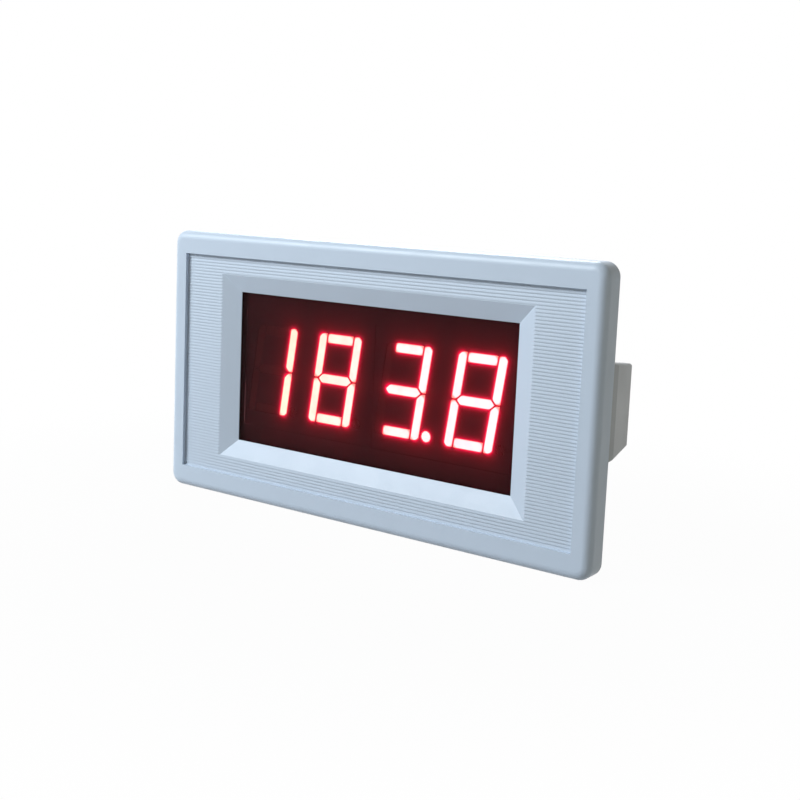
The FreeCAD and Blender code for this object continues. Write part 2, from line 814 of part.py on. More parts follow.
def make_main_board():
    """The board, with a round hole for every screw and a plain square one for every lead."""
    body = new_body("main_board")
    stand(body, 0, BOARD_FRONT)
    box_pad(body, size("board_width"), size("board_height"), 0, size("board_thickness"))
    drill(body, size("screw_clearance_hole"), 2, size("post_spacing_x"), 2, size("post_spacing_z"),
          as_length(0), as_length(0), round_pocket)
    hole, chip_pitch = size("pin_hole"), size("chip_pitch")
    for across in (LEFT_MODULE, RIGHT_MODULE):
        drill(body, hole, DISPLAY_PINS, size("display_pin_pitch"), 2, size("display_pin_rows"),
              across, as_length(0))
    drill(body, hole, CONVERTER_LEADS, chip_pitch, 2, size("converter_rows"),
          as_length(0), size("converter_z"))
    drill(body, hole, PUMP_LEADS, chip_pitch, 2, size("pump_rows"), size("pump_x"), size("pump_z"))
    half_span = size("resistor_span") / 2
    for side in (-half_span, half_span):
        drill(body, hole, RESISTORS, size("resistor_pitch_x"), 1, as_length(0), side, size("resistor_z"))
    film_middle = size("film_z") + (FILM_CAPACITORS - 1) * size("film_pitch") / 2
    drill(body, hole, 2, size("film_lead_span"), FILM_CAPACITORS, size("film_pitch"),
          size("film_x"), film_middle)
    drill(body, hole, 2, size("can_lead_span"), 1, as_length(0), size("can_x"), size("can_z"))
    drill(body, hole, TRIMMER_PINS, size("trimmer_pin_pitch"), 1, as_length(0),
          size("trimmer_x"), size("trimmer_z"))
    drill(body, size("contact_pin_hole"), POLES, size("pole_pitch"), 1, as_length(0), as_length(0),
          TERMINAL_Z + CONTACT_BACK - size("contact_sheet") / 2)


def make_board_screws():
    """Four slotted screws that hold the board to the bezel's posts."""
    body = new_body("board_screws")
    stand(body, size("post_spacing_x") / -2, BOARD_BACK, size("post_spacing_z") / -2)
    head_top = size("screw_head_height")
    head_edge, shank_edge = size("screw_head_diameter") / 2, size("screw_shank") / 2
    tip = -size("screw_length")
    profile = new_sketch(body, "XY_Plane")
    draw_outline(profile, [(0, head_top), (head_edge, head_top), (head_edge, 0), (shank_edge, 0),
                           (shank_edge, tip), (0, tip)])
    turned = revolve(body, profile, "Y_Axis")
    slot = box_pocket(body, size("screw_head_diameter"), size("screw_slot_width"),
                      head_top - size("screw_slot_depth"), size("screw_slot_depth"))
    spread(body, [turned, slot], 2, size("post_spacing_x"), 2, size("post_spacing_z"))


# Dual in-line chips
def make_chip(name, length, width, across, up):
    """A chip's moulded body, drafted from its parting line, with an end notch."""
    body = new_body(name)
    stand(body, across, BOARD_BACK, up)
    half = size("chip_thickness") / 2
    middle = size("chip_standoff") + half
    top = middle + half
    box_pad(body, length, width, middle, half, draft=-size("chip_draft"))
    lower = new_sketch(body, "XZ_Plane", out=-middle)
    draw_rectangle(lower, length, width)
    pad(body, lower, half, draft=-size("chip_draft"))
    round_pocket(body, 2 * size("chip_notch_radius"), top - size("chip_notch_depth"),
                 size("chip_notch_depth"), right=length / -2 + size("chip_notch_inset"))


def make_chip_leads(name, count, rows, width, across, up):
    """Two rows of bent leads that run from a chip's parting line through the board."""
    body = new_body(name)
    stand(body, across, BOARD_BACK, up)
    sheet_half = size("chip_lead_sheet") / 2
    middle = size("chip_standoff") + size("chip_thickness") / 2
    outer, inner = rows / 2 + sheet_half, rows / 2 - sheet_half
    arm = [(middle + sheet_half, width / 2), (middle + sheet_half, outer), (0, outer), (0, inner),
           (middle - sheet_half, inner), (middle - sheet_half, width / 2)]
    leg = [(0, outer), (-THROUGH_BOARD, outer), (-THROUGH_BOARD, inner), (0, inner)]
    first = (count - 1) * size("chip_pitch") / -2
    pads = []
    for corners, breadth in ((arm, size("chip_lead_width")), (leg, size("chip_leg_width"))):
        sketch = new_sketch(body, "YZ_Plane", out=first)
        draw_outline(sketch, corners)
        draw_outline(sketch, [(depth, -height) for depth, height in corners])
        pads.append(pad(body, sketch, breadth, both=True))
    repeat(body, pads, "X_Axis", count, size("chip_pitch"))


# Small parts on the board
def make_resistors():
    """A row of axial resistor bodies with a raised cap at both ends."""
    body = new_body("resistors")
    first = (RESISTORS - 1) * size("resistor_pitch_x") / -2
    radius = size("resistor_diameter") / 2
    stand(body, first, BOARD_BACK + size("resistor_rise") + radius, size("resistor_z"))
    length, cap = size("resistor_length"), size("resistor_cap_length")
    waist = new_sketch(body, "YZ_Plane")
    draw_light_circle(waist, size("resistor_waist"))
    middle = pad(body, waist, length, both=True)
    ends = []
    for centre in ((cap - length) / 2, (length - cap) / 2):
        ring = new_sketch(body, "YZ_Plane", out=centre)
        draw_light_circle(ring, size("resistor_diameter"))
        ends.append(pad(body, ring, cap, both=True))
    repeat(body, [middle] + ends, "X_Axis", RESISTORS, size("resistor_pitch_x"))


def make_resistor_leads():
    """Wires from the resistors' ends that bend on a slant and run through the board."""
    body = new_body("resistor_leads")
    first = (RESISTORS - 1) * size("resistor_pitch_x") / -2
    rise = size("resistor_rise") + size("resistor_diameter") / 2
    stand(body, first, BOARD_BACK + rise, size("resistor_z"))
    start, end = size("resistor_length") / 2, size("resistor_span") / 2
    half, bend, low = size("resistor_wire") / 2, size("resistor_bend"), -(rise + THROUGH_BOARD)
    inset = half * SLANT_INSET
    outer = [(start, half), (end - bend + inset, half), (end + half, inset - bend), (end + half, low)]
    inner = [(end - half, low), (end - half, -bend - inset), (end - bend - inset, -half), (start, -half)]
    shape = new_sketch(body, "XY_Plane")
    draw_outline(shape, outer + inner)
    wire = pad(body, shape, size("resistor_wire"), both=True)
    combine(body, [wire], [mirror_step(body, "YZ_Plane"),
                           row_step(body, "X_Axis", RESISTORS, size("resistor_pitch_x"))])


def make_film_capacitors():
    """A bank of box capacitors that stand side by side."""
    body = new_body("film_capacitors")
    stand(body, size("film_x"), BOARD_BACK + size("film_rise"), size("film_z"))
    width, height = size("film_length"), size("film_width")
    box = box_pad(body, width, height, 0, size("film_height"))
    eased = bevel_edges(body, box, size("film_corner"), lambda point: at_corner(point, width, height))
    repeat(body, [box, eased], "Z_Axis", FILM_CAPACITORS, size("film_pitch"))


def make_film_leads():
    """Two straight leads under each box capacitor."""
    body = new_body("film_capacitor_leads")
    stand(body, size("film_x"), BOARD_BACK - THROUGH_BOARD, size("film_z"))
    lead = square_pad(body, size("film_lead"), 0, THROUGH_BOARD + size("film_rise"),
                      right=size("film_lead_span") / -2)
    spread(body, [lead], 2, size("film_lead_span"), FILM_CAPACITORS, size("film_pitch"))


def make_can_capacitor():
    """An electrolytic can with its crimp above the bung."""
    body = new_body("can_capacitor")
    stand(body, size("can_x"), BOARD_BACK, size("can_z"))
    edge, foot = size("can_diameter") / 2, size("can_rise")
    crimp, top = foot + size("can_crimp_height"), foot + size("can_height")
    breadth, bevel = size("can_crimp_width"), size("can_edge_bevel")
    profile = new_sketch(body, "XY_Plane")
    draw_outline(profile, [(0, foot), (edge, foot), (edge, crimp),
                           (edge - size("can_crimp_depth"), crimp + breadth / 2),
                           (edge, crimp + breadth), (edge, top - bevel), (edge - bevel, top), (0, top)])
    revolve(body, profile, "Y_Axis")


def make_can_leads():
    """The can's two leads."""
    body = new_body("can_capacitor_leads")
    stand(body, size("can_x"), BOARD_BACK - THROUGH_BOARD, size("can_z"))
    lead = square_pad(body, size("can_lead"), 0, THROUGH_BOARD + size("can_rise"),
                      right=size("can_lead_span") / -2)
    repeat(body, [lead], "X_Axis", 2, size("can_lead_span"))


# Trimmer
def make_trimmer_body():
    """The trimmer's housing on four feet, bored for its adjuster."""
    body = new_body("trimmer_body")
    stand(body, size("trimmer_x"), BOARD_BACK, size("trimmer_z"))
    side, foot = size("trimmer_side"), size("trimmer_foot")
    case = box_pad(body, side, side, foot, size("trimmer_height"))
    bevel_edges(body, case, size("trimmer_chamfer"),
                lambda point: at_corner(point, side, side) and point.x < 0 and point.z < 0)
    corner = (side - size("trimmer_foot_side")) / 2 - size("trimmer_chamfer")
    small = box_pad(body, size("trimmer_foot_side"), size("trimmer_foot_side"), 0, foot,
                    right=-corner, up=-corner)
    spread(body, [small], 2, 2 * corner, 2, 2 * corner)
    well = size("adjuster_thickness") + size("adjuster_recess")
    round_pocket(body, size("trimmer_bore"), foot + size("trimmer_height") - well, well)


def make_trimmer_adjuster():
    """The slotted rotor that turns in the trimmer's bore."""
    body = new_body("trimmer_adjuster")
    top = size("trimmer_foot") + size("trimmer_height") - size("adjuster_recess")
    stand(body, size("trimmer_x"), BOARD_BACK + top, size("trimmer_z"))
    diameter = size("trimmer_bore") - 2 * size("adjuster_clearance")
    round_pad(body, diameter, -size("adjuster_thickness"), size("adjuster_thickness"))
    box_pocket(body, diameter, size("adjuster_slot_width"), -size("adjuster_slot_depth"),
               size("adjuster_slot_depth"))


def make_trimmer_pins():
    """The trimmer's three pins in a line."""
    body = new_body("trimmer_pins")
    stand(body, size("trimmer_x"), BOARD_BACK - THROUGH_BOARD, size("trimmer_z"))
    pitch = size("trimmer_pin_pitch")
    pin = box_pad(body, size("trimmer_pin"), size("trimmer_pin"), 0, THROUGH_BOARD + size("trimmer_foot"),
                  right=(TRIMMER_PINS - 1) * pitch / -2)
    repeat(body, [pin], "X_Axis", TRIMMER_PINS, pitch)


# Terminal block with rising clamps
def make_terminal_housing():
    """The block's housing: a chamber, a screw well and a funnelled wire entry for each pole."""
    body = new_body("terminal_housing")
    stand(body, 0, BOARD_BACK, BLOCK_LOW)
    rise, reach = size("block_height"), size("block_depth")
    front, back = size("block_front_chamfer"), size("block_back_chamfer")
    profile = new_sketch(body, "YZ_Plane")
    draw_outline(profile, [(0, 0), (rise - front, 0), (rise, front), (rise, reach - back),
                           (rise - back, reach), (0, reach)])
    pad(body, profile, BLOCK_WIDTH, both=True)
    chamber = box_pocket(body, size("chamber_width"), CHAMBER_LENGTH, 0, CHAMBER_DEPTH, right=FIRST_POLE,
                         up=size("chamber_front_wall") + CHAMBER_LENGTH / 2)
    opening = new_sketch(body, "XZ_Plane", right=FIRST_POLE, up=TERMINAL_REACH, out=-CHAMBER_DEPTH)
    draw_light_circle(opening, size("screw_well"))
    well = pocket(body, opening, size("block_roof"))
    low, high = size("entry_low"), size("entry_high")
    mouth = new_sketch(body, "XY_Plane", right=FIRST_POLE, up=(low + high) / 2)
    draw_rectangle(mouth, size("entry_width"), high - low)
    entry = pocket(body, mouth, size("chamber_front_wall"), reverse=True)
    funnel = body.newObject("PartDesign::SubtractiveLoft", "terminal_funnel")
    wide = new_sketch(body, "XY_Plane", right=FIRST_POLE, up=(low + high) / 2)
    flare = 2 * size("entry_funnel")
    draw_rectangle(wide, size("entry_width") + flare, high - low + flare)
    narrow = new_sketch(body, "XY_Plane", right=FIRST_POLE, up=(low + high) / 2, out=size("entry_funnel"))
    draw_rectangle(narrow, size("entry_width"), high - low)
    funnel.Profile = wide
    funnel.Sections = [narrow]
    funnel.Ruled = True
    doc.recompute()
    repeat(body, [chamber, well, entry, funnel], "X_Axis", POLES, size("pole_pitch"))


def make_terminal_contacts():
    """Fixed contacts: a strip through each clamp, bent down to a pin in the board."""
    body = new_body("terminal_contacts")
    stand(body, FIRST_POLE, BOARD_BACK, TERMINAL_Z)
    top, thick, back = size("contact_top"), size("contact_sheet"), CONTACT_BACK
    strip = new_sketch(body, "YZ_Plane")
    draw_outline(strip, [(top, size("clamp_length") / -2), (top, back), (0, back), (0, back - thick),
                         (top - thick, back - thick), (top - thick, size("clamp_length") / -2)])
    bent = pad(body, strip, size("contact_width"), both=True)
    tail = new_sketch(body, "YZ_Plane")
    draw_outline(tail, [(0, back), (-THROUGH_BOARD, back), (-THROUGH_BOARD, back - thick),
                        (0, back - thick)])
    pin = pad(body, tail, size("contact_pin_width"), both=True)
    repeat(body, [bent, pin], "X_Axis", POLES, size("pole_pitch"))


def make_terminal_clamp(name, across):
    """A rising clamp: a closed cage with a threaded roof."""
    body = new_body(name)
    stand(body, across, BOARD_BACK, TERMINAL_Z)
    width = size("chamber_width") - 2 * size("clamp_side_gap")
    low, floor, throat, roof = (size(f"clamp_{part}") for part in ("low", "floor", "throat", "roof"))
    tall = floor + throat + roof
    outside = new_sketch(body, "XY_Plane", up=low + tall / 2)
    draw_rectangle(outside, width, tall)
    block = pad(body, outside, size("clamp_length"), both=True)
    bevel_edges(body, block, size("clamp_corner"), lambda point: near(abs(point.x), width / 2)
                and (near(point.y, low) or near(point.y, low + tall)))
    inside = new_sketch(body, "XY_Plane", up=low + floor + throat / 2)
    draw_rectangle(inside, size("thread_diameter") + 2 * size("clamp_throat_gap"), throat)
    pocket(body, inside, size("clamp_length"), both=True)
    round_pocket(body, size("thread_diameter"), low + floor + throat, roof)


def make_terminal_screw(name, across):
    """A slotted screw whose tip bears on the fixed contact."""
    body = new_body(name)
    stand(body, across, BOARD_BACK, TERMINAL_Z)
    top = size("block_height") - size("terminal_head_sink")
    under = top - size("terminal_head_height")
    head, shank = size("terminal_head_diameter") / 2, size("thread_diameter") / 2 - size("thread_clearance")
    tip = size("contact_top") + size("contact_tip_gap")
    edge = size("terminal_head_edge")
    profile = new_sketch(body, "XY_Plane")
    draw_outline(profile, [(0, tip), (shank, tip), (shank, under), (head, under), (head, top - edge),
                           (head - edge, top), (0, top)])
    revolve(body, profile, "Y_Axis")
    box_pocket(body, 2 * head, size("terminal_slot_width"), top - size("terminal_slot_depth"),
               size("terminal_slot_depth"))


make_front_bezel()
make_filter_window()
make_module("display_left", LEFT_MODULE)
make_module("display_right", RIGHT_MODULE)
make_segments("segments_lit_1", LEFT_MODULE, {0: "bc"}, [])
make_segments("segments_lit_2", LEFT_MODULE, {1: "abcdefg"}, [])
make_segments("segments_lit_3", RIGHT_MODULE, {0: "abcdg"}, [0])
make_segments("segments_lit_4", RIGHT_MODULE, {1: "abcdefg"}, [])
make_segments("segments_dark_left", LEFT_MODULE, {0: "adefg"}, [0, 1])
make_segments("segments_dark_right", RIGHT_MODULE, {0: "ef"}, [1])
make_module_pins("display_left_pins", LEFT_MODULE)
make_module_pins("display_right_pins", RIGHT_MODULE)
make_main_board()
make_board_screws()
make_chip("converter_chip", size("converter_length"), size("converter_width"),
          as_length(0), size("converter_z"))
make_chip_leads("converter_chip_leads", CONVERTER_LEADS, size("converter_rows"), size("converter_width"),
                as_length(0), size("converter_z"))
make_chip("charge_pump_chip", size("pump_length"), size("pump_width"), size("pump_x"), size("pump_z"))
make_chip_leads("charge_pump_chip_leads", PUMP_LEADS, size("pump_rows"), size("pump_width"),
                size("pump_x"), size("pump_z"))
make_resistors()
make_resistor_leads()
make_film_capacitors()
make_film_leads()
make_can_capacitor()
make_can_leads()
make_trimmer_body()
make_trimmer_adjuster()
make_trimmer_pins()
make_terminal_housing()
make_terminal_contacts()
for pole in range(POLES):
    pole_x = FIRST_POLE + pole * size("pole_pitch")
    make_terminal_clamp(f"terminal_clamp_{pole + 1}", pole_x)
    make_terminal_screw(f"terminal_screw_{pole + 1}", pole_x)

doc.recompute()
for item in doc.Objects:
    if "Invalid" in item.State or "Error" in item.State:
        raise RuntimeError(f"{item.Name} did not build: {item.State}")
for item in nodes:
    if item.Shape.isNull() or not item.Shape.isValid():
        raise RuntimeError(f"{item.Label} has no valid shape")
for item in nodes:
    item.Shape.exportStep(f"parts/{item.Label}.step")
    print(item.Label, len(item.Shape.Solids), round(item.Shape.Volume, 2))
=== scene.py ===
"""Looks of a four-place digital panel meter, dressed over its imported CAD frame."""

import logging
import math
from dataclasses import dataclass
from enum import Enum
from typing import Callable, Dict, Iterable, List, Optional, Sequence, Tuple, Union

import bpy
from mathutils import Matrix, Vector


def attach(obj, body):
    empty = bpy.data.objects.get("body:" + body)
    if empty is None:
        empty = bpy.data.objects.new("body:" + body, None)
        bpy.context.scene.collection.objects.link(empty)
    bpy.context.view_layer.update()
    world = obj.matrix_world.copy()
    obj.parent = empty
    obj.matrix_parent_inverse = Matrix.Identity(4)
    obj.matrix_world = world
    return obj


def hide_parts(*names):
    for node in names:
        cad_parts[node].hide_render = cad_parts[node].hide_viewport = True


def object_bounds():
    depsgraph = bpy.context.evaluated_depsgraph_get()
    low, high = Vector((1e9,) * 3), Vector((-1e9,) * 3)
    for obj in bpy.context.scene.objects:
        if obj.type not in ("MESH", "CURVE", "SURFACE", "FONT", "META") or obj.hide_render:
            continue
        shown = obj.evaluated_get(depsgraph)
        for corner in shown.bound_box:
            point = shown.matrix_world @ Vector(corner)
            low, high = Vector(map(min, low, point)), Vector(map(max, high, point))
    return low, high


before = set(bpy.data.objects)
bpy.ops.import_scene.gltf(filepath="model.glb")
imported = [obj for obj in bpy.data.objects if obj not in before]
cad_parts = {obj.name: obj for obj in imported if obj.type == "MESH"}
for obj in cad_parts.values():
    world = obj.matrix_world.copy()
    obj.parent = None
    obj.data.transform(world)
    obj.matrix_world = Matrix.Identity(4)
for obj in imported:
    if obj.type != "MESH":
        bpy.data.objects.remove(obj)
CAD_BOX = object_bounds()

MM = 0.001
BODY = "case"
WELD = 0.002
LOG = logging.getLogger("panel_meter")

# Places that several pieces share, in millimetres.
FIELD_DEPTH = -3.2
RIB_DEPTH = 0.14
BOARD_FRONT = 9.2
BOARD_BACK = 10.8
LEAD_PITCH = 2.54
PIN_ROW = 7.62
CHIP_UP = 4.2
MODULE_ACROSS = 12.825
CAN_PLACE = (-28.4, -7.2)
RESISTOR_CENTRES = (-19.5, -6.5, 6.5, 19.5)
RESISTOR_UP = 14.9
RESISTOR_SPAN = 10.16
RESISTOR_LEADS = tuple(centre + side * RESISTOR_SPAN / 2
                       for centre in RESISTOR_CENTRES for side in (-1, 1))

Object = bpy.types.Object
Material = bpy.types.Material
Socket = bpy.types.NodeSocket
Tree = bpy.types.NodeTree
Colour = Tuple[float, float, float]
Point = Tuple[float, float, float]
Flat = Tuple[float, float]
Feed = Union[float, Sequence[float], Socket]
Shade = Dict[str, Feed]


# The modelling moves that the pieces share, each one made with Blender's own operators.


def leave() -> None:
    """Leave edit mode and select nothing."""
    active = bpy.context.view_layer.objects.active
    if active is not None and active.mode != "OBJECT":
        bpy.ops.object.mode_set(mode="OBJECT")
    bpy.ops.object.select_all(action="DESELECT")


def take(piece: Object) -> None:
    """Make one piece the only selected and active one."""
    leave()
    piece.select_set(True)
    bpy.context.view_layer.objects.active = piece


def edit_all() -> None:
    """Open the active piece for editing with all of it selected."""
    bpy.ops.object.mode_set(mode="EDIT")
    bpy.ops.mesh.select_all(action="SELECT")


def freeze() -> None:
    """Put the active piece's place, turn and size into its mesh."""
    bpy.ops.object.transform_apply(location=True, rotation=True, scale=True)


def extrude(shift: Point) -> None:
    """Extrude what is selected by a shift in metres."""
    bpy.ops.mesh.extrude_region_move(TRANSFORM_OT_translate={"value": shift})


def close_up() -> None:
    """Turn all faces of the edited piece outward and leave it."""
    bpy.ops.mesh.select_all(action="SELECT")
    bpy.ops.mesh.normals_make_consistent(inside=False)
    leave()


def choose_edges(piece: Object, test: Callable[[Vector], bool]) -> None:
    """Open a piece for editing with some of its edges selected.

    Args:
        piece: The piece to edit.
        test: Takes an edge's run, in metres, and says whether it is chosen.
    """
    take(piece)
    bpy.ops.object.mode_set(mode="EDIT")
    bpy.ops.mesh.select_mode(type="EDGE")
    bpy.ops.mesh.select_all(action="DESELECT")
    bpy.ops.object.mode_set(mode="OBJECT")
    mesh = piece.data
    for edge in mesh.edges:
        start, end = (mesh.vertices[index].co for index in edge.vertices)
        edge.select = test(end - start)
    bpy.ops.object.mode_set(mode="EDIT")


def settle(piece: Object, name: str, angle: float = 40.0) -> Object:
    """Put a piece's place into its mesh, name it and smooth its shading.

    Args:
        piece: The piece as modelled.
        name: The piece's own name.
        angle: Edges sharper than this many degrees stay crisp.

    Returns:
        The finished piece.
    """
    take(piece)
    freeze()
    bpy.ops.object.shade_smooth_by_angle(angle=math.radians(angle))
    piece.name = name
    piece.data.name = name
    leave()
    return piece


def join_up(pieces: Sequence[Object], name: str) -> Object:
    """Join pieces into one and name it.

    Args:
        pieces: The pieces, at least one.
        name: The name of the whole.

    Returns:
        The joined piece.
    """
    leave()
    for piece in pieces:
        piece.select_set(True)
    bpy.context.view_layer.objects.active = pieces[0]
    bpy.ops.object.join()
    return settle(bpy.context.view_layer.objects.active, name)


def double(piece: Object) -> Object:
    """Copy a piece together with its mesh.

    Args:
        piece: The piece.

    Returns:
        Its copy.
    """
    other = piece.copy()
    other.data = piece.data.copy()
    bpy.context.scene.collection.objects.link(other)
    return other


def copy_to(piece: Object, places: Iterable[Point]) -> List[Object]:
    """Copy a piece by offsets.

    Args:
        piece: The piece that is copied and then removed.
        places: Offsets in metres.

    Returns:
        The copies, each with its own mesh.
    """
    copies = []
    for place in places:
        other = double(piece)
        other.data.transform(Matrix.Translation(place))
        copies.append(other)
    bpy.data.objects.remove(piece)
    return copies


def disc(centre: Vector, radius: float, sides: int, rotation: Point) -> Object:
    """A filled disc, open for editing.

    Args:
        centre: Its middle, in metres.
        radius: Its radius in millimetres.
        sides: Sides of its rim.
        rotation: Its turn round each axis, in radians.

    Returns:
        The disc, all of it selected.
    """
    leave()
    bpy.ops.mesh.primitive_circle_add(vertices=sides, radius=radius * MM, fill_type="NGON",
                                      location=centre, rotation=rotation)
    freeze()
    edit_all()
    return bpy.context.view_layer.objects.active


def stack(centre: Point, steps: Sequence[Flat], sides: int) -> Object:
    """A round form built up along Y, ring by ring, by extruding and scaling a disc.

    Args:
        centre: Where the axis starts, in metres.
        steps: Radius and depth of each ring in millimetres, the depth from the start.
        sides: Sides of each ring.

    Returns:
        A closed mesh object.
    """
    radius, depth = steps[0]
    start = Vector(centre) + Vector((0, depth * MM, 0))
    piece = disc(start, radius, sides, (-math.pi / 2, 0, 0))
    for wider, further in steps[1:]:
        extrude((0, (further - depth) * MM, 0))
        if wider != radius:
            share = wider / radius
            middle = Vector(centre) + Vector((0, further * MM, 0))
            bpy.ops.transform.resize(value=(share, 1, share), center_override=middle)
        radius, depth = wider, further
    close_up()
    return piece


def block(low: Point, high: Point, rounding: float, segments: int) -> Object:
    """A box between two corners with every edge rounded.

    Args:
        low: Its lowest corner in millimetres.
        high: Its highest corner in millimetres.
        rounding: Width of the rounding in millimetres.
        segments: Faces across the rounding.

    Returns:
        The box.
    """
    leave()
    middle = (Vector(low) + Vector(high)) * MM / 2
    bpy.ops.mesh.primitive_cube_add(size=1, location=middle)
    piece = bpy.context.view_layer.objects.active
    piece.scale = (Vector(high) - Vector(low)) * MM
    freeze()
    edit_all()
    bpy.ops.mesh.bevel(offset=rounding * MM, segments=segments, affect="EDGES")
    leave()
    return piece


def cut_out(piece: Object, cutter: Object) -> None:
    """Take a cutter's form out of a piece and remove the cutter.

    Args:
        piece: The piece that is cut.
        cutter: The form to take out.
    """
    take(piece)
    change = piece.modifiers.new("cut", "BOOLEAN")
    change.operation = "DIFFERENCE"
    change.solver = "EXACT"
    change.object = cutter
    bpy.ops.object.modifier_apply(modifier=change.name)
    bpy.data.objects.remove(cutter)


def from_node(node: str) -> Object:
    """A merged copy of a CAD node's mesh, ready to be worked on.

    Args:
        node: The node's name.

    Returns:
        The copy, free of the node's own data.
    """
    piece = double(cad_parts[node])
    piece.parent = None
    for key in list(piece.keys()):
        del piece[key]
    take(piece)
    edit_all()
    bpy.ops.mesh.remove_doubles(threshold=WELD * MM)
    bpy.ops.mesh.dissolve_limited(angle_limit=math.radians(1))
    leave()
    return piece


def fix(piece: Object, slot: str, finish: Material, *nodes: str) -> None:
    """Fix a new piece to the case, with its finish, and hide the nodes it stands for.

    Args:
        piece: The finished piece.
        slot: The record's material slot. Not used.
        finish: The material that it shows.
        nodes: CAD nodes that it replaces.
    """
    piece.data.materials.clear()
    piece.data.materials.append(finish)
    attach(piece, BODY)
    if nodes:
        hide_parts(*nodes)
    LOG.info("%s: %d faces", piece.name, len(piece.data.polygons))


class Mix(Enum):
    """What a mix node mixes, with the numbers of its two inputs and of its output."""

    COLOUR = ("RGBA", 6, 7, 2)
    VECTOR = ("VECTOR", 4, 5, 1)


class Graph:
    """A short way to place and join nodes in one shader tree."""

    def __init__(self, tree: Tree) -> None:
        """Keep the tree that the nodes go into."""
        self.tree = tree

    def add(self, kind: str, **settings: object) -> bpy.types.Node:
        """Add a node and set its plain settings.

        Args:
            kind: The node's type.
            settings: Its attributes by name.

        Returns:
            The node.
        """
        node = self.tree.nodes.new(kind)
        for key, value in settings.items():
            setattr(node, key, value)
        return node

    def feed(self, socket: Socket, source: Feed) -> None:
        """Link a socket, or give it a plain value.

        Args:
            socket: The input.
            source: A socket, a number, or a vector or colour.
        """
        if isinstance(source, Socket):
            self.tree.links.new(source, socket)
        elif isinstance(source, (int, float)):
            socket.default_value = float(source)
        else:
            values = list(source)
            if len(values) < len(socket.default_value):
                values.append(1.0)
            socket.default_value = values

    def feed_all(self, sockets: bpy.types.bpy_prop_collection,
                 sources: Dict[Union[int, str], Feed]) -> None:
        """Feed sockets by number, or by name with an underscore for each space."""
        for key, source in sources.items():
            self.feed(sockets[key.replace("_", " ") if isinstance(key, str) else key], source)

    def math(self, operation: str, *sources: Feed, clamp: bool = False) -> Socket:
        """A number worked out from others."""
        node = self.add("ShaderNodeMath", operation=operation, use_clamp=clamp)
        self.feed_all(node.inputs, dict(enumerate(sources)))
        return node.outputs[0]

    def vector(self, operation: str, *sources: Feed) -> Socket:
        """A vector worked out from vectors, or a number where the operation gives one."""
        node = self.add("ShaderNodeVectorMath", operation=operation)
        self.feed_all(node.inputs, dict(enumerate(sources)))
        return node.outputs["Value" if operation in ("DOT_PRODUCT", "LENGTH") else "Vector"]

    def scaled(self, vector: Feed, factor: Feed) -> Socket:
        """A vector or a colour times a number."""
        node = self.add("ShaderNodeVectorMath", operation="SCALE")
        self.feed_all(node.inputs, {0: vector, "Scale": factor})
        return node.outputs[0]

    def within(self, value: Feed, reach: Feed) -> Socket:
        """Whether a value is nearer to zero than a reach."""
        return self.math("LESS_THAN", self.math("ABSOLUTE", value), reach)

    def decay(self, distance: Feed, reach: Feed) -> Socket:
        """One at no distance, fading out over a reach."""
        share = self.math("DIVIDE", distance, reach)
        return self.math("EXPONENT", self.math("MULTIPLY", share, -1.0))

    def place(self) -> Socket:
        """The point's place on the object, in metres."""
        return self.add("ShaderNodeTexCoord").outputs["Object"]

    def parts(self, vector: Feed) -> bpy.types.NodeOutputs:
        """A vector's three numbers."""
        node = self.add("ShaderNodeSeparateXYZ")
        self.feed(node.inputs[0], vector)
        return node.outputs

    def noise(self, scale: Feed, detail: float = 2.0, roughness: float = 0.5,
              vector: Optional[Feed] = None) -> Socket:
        """Smooth noise from 0 to 1, most of it near one half.

        Args:
            scale: How many times it changes in a metre.
            detail: Its octaves.
            roughness: How strong the finer octaves are.
            vector: Its place, or the object's own.

        Returns:
            The noise.
        """
        node = self.add("ShaderNodeTexNoise")
        self.feed_all(node.inputs, {"Vector": self.place() if vector is None else vector,
                                    "Scale": scale, "Detail": detail, "Roughness": roughness})
        return node.outputs["Fac"]

    def centred(self, share: Feed) -> Socket:
        """A share from 0 to 1 moved to lie round zero."""
        return self.math("SUBTRACT", share, 0.5)

    def blend(self, share: Feed, first: Feed, second: Feed, mix: Mix = Mix.COLOUR) -> Socket:
        """A colour or a vector between two others.

        Args:
            share: How much of the second is shown, from 0 to 1.
            first: What a share of 0 shows.
            second: What a share of 1 shows.
            mix: Whether colours or vectors are mixed.

        Returns:
            The mixture.
        """
        kind, start, end, result = mix.value
        node = self.add("ShaderNodeMix", data_type=kind)
        self.feed_all(node.inputs, {0: share, start: first, end: second})
        return node.outputs[result]

    def span(self, value: Feed, low: float, high: float, start: float = 0.0, end: float = 1.0,
             smooth: bool = False) -> Socket:
        """A value moved from one range into another and held within it.

        Args:
            value: The value.
            low: The first range's start.
            high: Its end.
            start: The second range's start.
            end: Its end.
            smooth: Whether it eases in and out.

        Returns:
            The moved value.
        """
        kind = "SMOOTHSTEP" if smooth else "LINEAR"
        node = self.add("ShaderNodeMapRange", interpolation_type=kind)
        self.feed_all(node.inputs, {"Value": value, "From Min": low, "From Max": high,
                                    "To Min": start, "To Max": end})
        return node.outputs["Result"]

    def bump(self, height: Feed, depth: float, strength: float = 1.0,
             normal: Optional[Feed] = None) -> Socket:
        """A surface normal raised by a height, with its depth in metres.

        Args:
            height: The height, from 0 to 1.
            depth: What a height of 1 stands for.
            strength: The share of it that shows.
            normal: The normal it starts from.

        Returns:
            The normal.
        """
        node = self.add("ShaderNodeBump")
        self.feed_all(node.inputs, {"Strength": strength, "Distance": depth, "Height": height})
        if normal is not None:
            self.feed(node.inputs["Normal"], normal)
        return node.outputs["Normal"]

